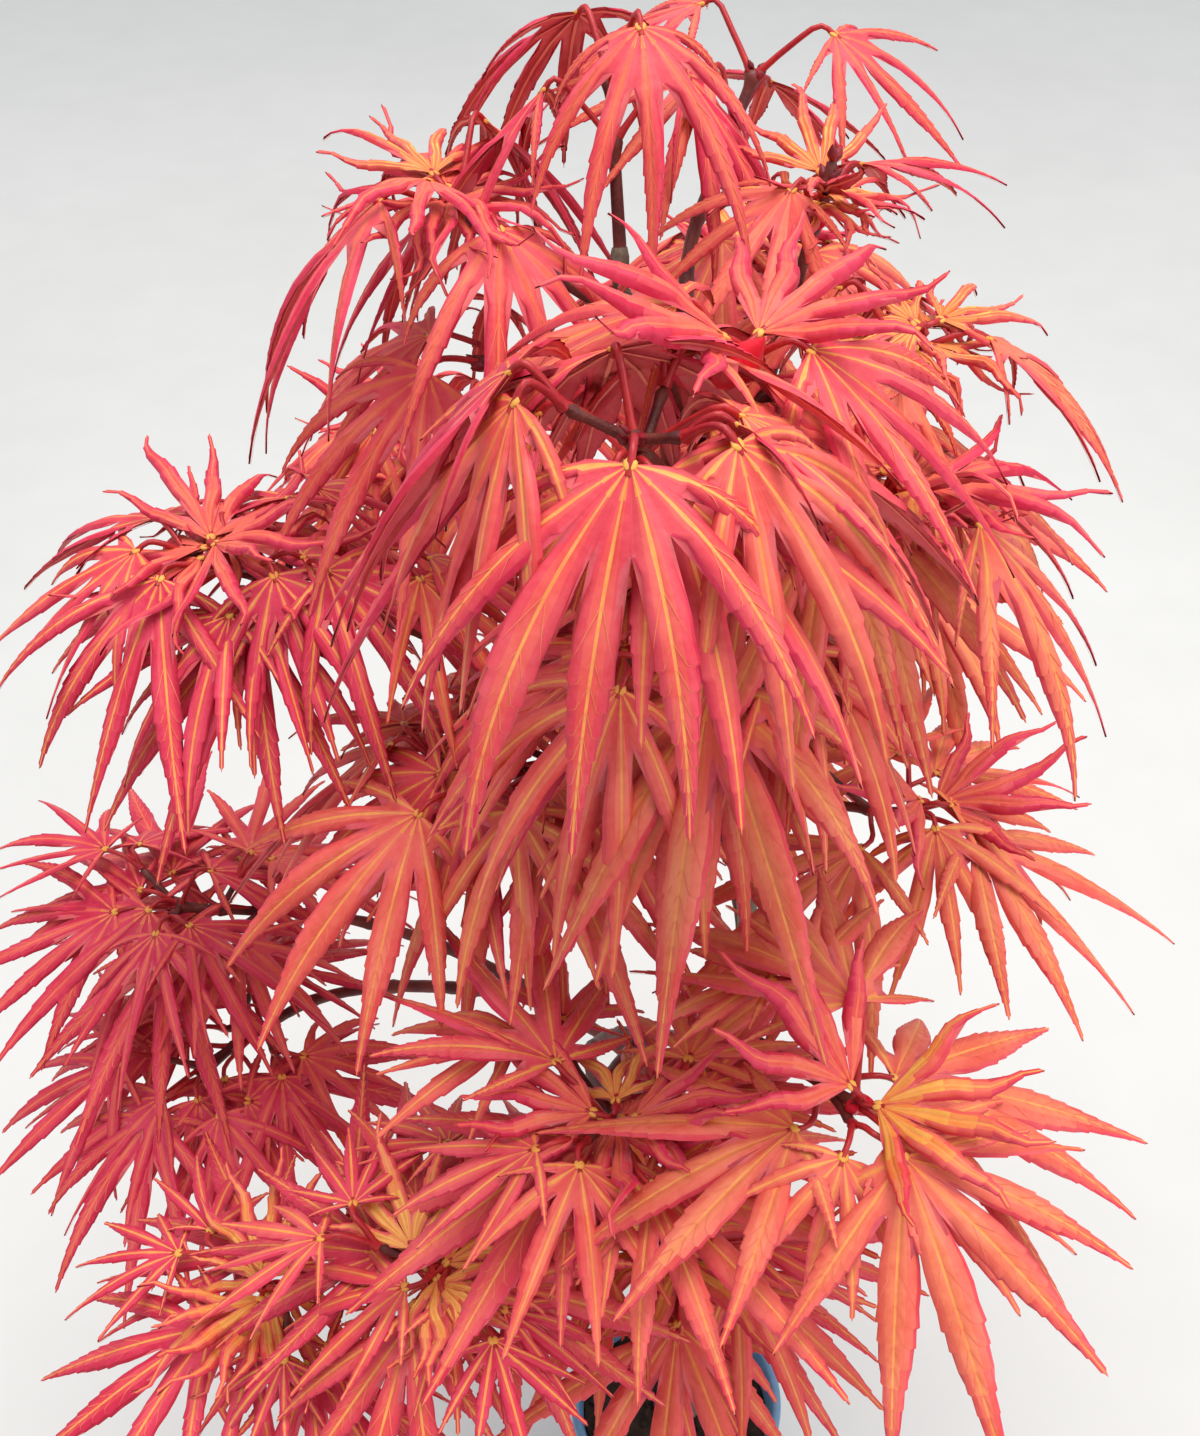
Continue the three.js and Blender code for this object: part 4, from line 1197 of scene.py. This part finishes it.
# %% Cut the drain holes
HOLE_SIDES, CUTTER_DEPTH = 32, 8
bm = bmesh.new()
for step in range(DRAIN_HOLES):
    made = bmesh.ops.create_cone(bm, cap_ends=True, segments=HOLE_SIDES, depth=CUTTER_DEPTH * MM,
                                 radius1=DRAIN_RADIUS * MM, radius2=DRAIN_RADIUS * MM)["verts"]
    where = aim(360 / DRAIN_HOLES * step, 0) * DRAIN_CIRCLE * MM
    bmesh.ops.translate(bm, vec=Vector(where), verts=made)
cutter = bpy.data.objects.new("hole_cutter", plain_mesh("hole_cutter", bm))
bpy.context.scene.collection.objects.link(cutter)
modifier = pot_shell.modifiers.new("drain_holes", "BOOLEAN")
modifier.object, modifier.operation, modifier.solver = cutter, "DIFFERENCE", "EXACT"
whole = pot_shell.evaluated_get(bpy.context.evaluated_depsgraph_get())
pot_shell.data = bpy.data.meshes.new_from_object(whole)
pot_shell.modifiers.clear()
bpy.data.objects.remove(cutter)
print("pot faces with its holes:", len(pot_shell.data.polygons))

# %% [markdown]
# ## The compost
#
# The pot is filled with dark, crumbly compost, a little higher in the middle. A displaced disc
# alone would look like cloth, so the spun filling gets a rough top, and small squashed lumps lie
# on it, every fourth of them close round the trunk's foot.

# %% The filling and its rough top
COMPOST_FINISH = finish("dark_compost", (44, 30, 22), (78, 56, 40), 220, rough=(0.8, 1.0),
                        relief=1.0, depth=0.002)
taper = (POT_RIM - POT_LIP - POT_FOOT) / (POT_HEIGHT - POT_LIP_HEIGHT - POT_WALL)
compost_foot = POT_FOOT - POT_WALL - CLEAR * 1.2
compost_rim = compost_foot + taper * (COMPOST_TOP - POT_WALL - CLEAR)
profile = [(AXIS, POT_WALL + CLEAR), (compost_foot, POT_WALL + CLEAR), (compost_rim, COMPOST_TOP)]
for s in np.linspace(0.97, 0.02, 26):
    profile.append((compost_rim * s, COMPOST_TOP + COMPOST_CROWN * (1 - s)))
TOP_RELIEF, TOP_SCALE, TOP_SINK = 0.0011, 420, 0.0003
bm = spun(profile, COMPOST_STEPS)
for v in bm.verts:
    if v.co.z > (COMPOST_TOP - 0.1) * MM:
        v.co.z += TOP_RELIEF * noise.fractal(v.co * TOP_SCALE, 1, 2, 3) - TOP_SINK
print("compost rim, mm:", round(compost_rim, 1))

# %% Its lumps
LUMPS, LUMP_SEED, LUMP_REACH, LUMP_STAND = 240, 7, 0.94, 1
LUMP_SIZE, LUMP_SIZE_CHANCE, LUMP_SQUASH_CHANCE, LUMP_HEIGHT = 0.6, 1.4, 0.3, 0.7
FOOT_EVERY, NEAR_FOOT, NEAR_FOOT_REACH, CLEAR_OF_FOOT = 4, 8.2, 0.06, 9
chance = Chance(LUMP_SEED)
for lump in range(LUMPS):
    distance, turn = compost_rim * LUMP_REACH * chance.next() ** 0.5, 360 * chance.next()
    if lump % FOOT_EVERY == 0:
        distance = NEAR_FOOT + NEAR_FOOT_REACH * distance
    else:
        distance = max(distance, CLEAR_OF_FOOT)
    size = LUMP_SIZE + LUMP_SIZE_CHANCE * chance.next() ** 2
    made = bmesh.ops.create_icosphere(bm, subdivisions=1, radius=size * MM)["verts"]
    wide, deep = 1 + chance.spread(LUMP_SQUASH_CHANCE), 1 + chance.spread(LUMP_SQUASH_CHANCE)
    bmesh.ops.scale(bm, vec=Vector((wide, deep, LUMP_HEIGHT)), verts=made)
    place = aim(turn, 0) * distance
    bmesh.ops.translate(bm, vec=Vector((*place[:2], COMPOST_TOP + LUMP_STAND)) * MM, verts=made)
place_mesh("compost_fill", bm, COMPOST_FINISH, ["compost"])

# %% [markdown]
# ## Floor
#
# The tree stands on a plain pale floor that nobody should notice. A curved backdrop could hide
# the horizon, but a wide flat grid is enough here, because the camera looks down on it.

# %% The floor
FLOOR_FINISH = finish("pale_floor", (222, 220, 216), (228, 226, 222), 2, rough=(0.7, 0.8),
                      relief=0.02)
FLOOR_REACH = 6
bm = bmesh.new()
bmesh.ops.create_grid(bm, x_segments=8, y_segments=8, size=FLOOR_REACH)
mesh = plain_mesh("floor", bm)
mesh.materials.append(FLOOR_FINISH)
floor = bpy.data.objects.new("floor", mesh)
bpy.context.scene.collection.objects.link(floor)
print("floor width, m:", 2 * FLOOR_REACH)

# %% [markdown]
# ## Light
#
# The tree stands in soft daylight from above. A sun lamp would cut hard shadows between the
# lobes, so a pale world does most of the work, a large round light over the crown lifts the upper
# leaves, and a weaker one at the right warms the side that faces the camera.

# %% The sky
SKY_COLOUR, SKY_STRENGTH = (0.9, 0.95, 1.0, 1), 0.7
world = bpy.data.worlds.new("soft_sky")
bpy.context.scene.world = world
world.use_nodes = True
sky = world.node_tree.nodes["Background"]
sky.inputs["Color"].default_value = SKY_COLOUR
sky.inputs["Strength"].default_value = SKY_STRENGTH
bpy.context.scene.view_settings.view_transform = "Standard"
print("sky strength:", SKY_STRENGTH)


# %% Two soft lights
def soft_light(name, place, target, size, power, colour):
    data = bpy.data.lights.new(name, "AREA")
    data.shape, data.size, data.energy, data.color = "DISK", size, power, colour
    light = bpy.data.objects.new(name, data)
    light.location = place
    light.rotation_euler = (Vector(target) - Vector(place)).to_track_quat("-Z", "Y").to_euler()
    bpy.context.scene.collection.objects.link(light)
    print(name, "watts:", power)


soft_light("sky_light", (0.05, 0.2, 1.9), (-0.03, 0.02, 0.4), 1.3, 23, (1.0, 0.98, 0.96))
soft_light("side_light", (1.3, -0.9, 1.2), (-0.03, 0.02, 0.35), 1.0, 8, (1.0, 0.97, 0.95))

# %% [markdown]
# ## Camera
#
# The camera stands in front and looks down at about forty degrees, close enough for the near
# leaves to loom large, as in the photograph. Its lens comes from the same pinhole that set the
# sizes, so it isn't guessed anew: half the sensor's width over half the picture's, times the
# pinhole's distance.

# %% Camera
SENSOR, HALF_PICTURE, PINHOLE = 36, 718, 1540
CAMERA_PLACE, CAMERA_TILT = (-0.026, -0.237, 0.600), 48
data = bpy.data.cameras.new("camera")
data.sensor_width, data.lens = SENSOR, SENSOR / 2 * PINHOLE / HALF_PICTURE
data.clip_start = 0.01
camera = bpy.data.objects.new("camera", data)
camera.location = CAMERA_PLACE
camera.rotation_euler = (math.radians(CAMERA_TILT), 0, 0)
bpy.context.scene.collection.objects.link(camera)
bpy.context.scene.camera = camera
print("lens, mm:", round(data.lens, 1))
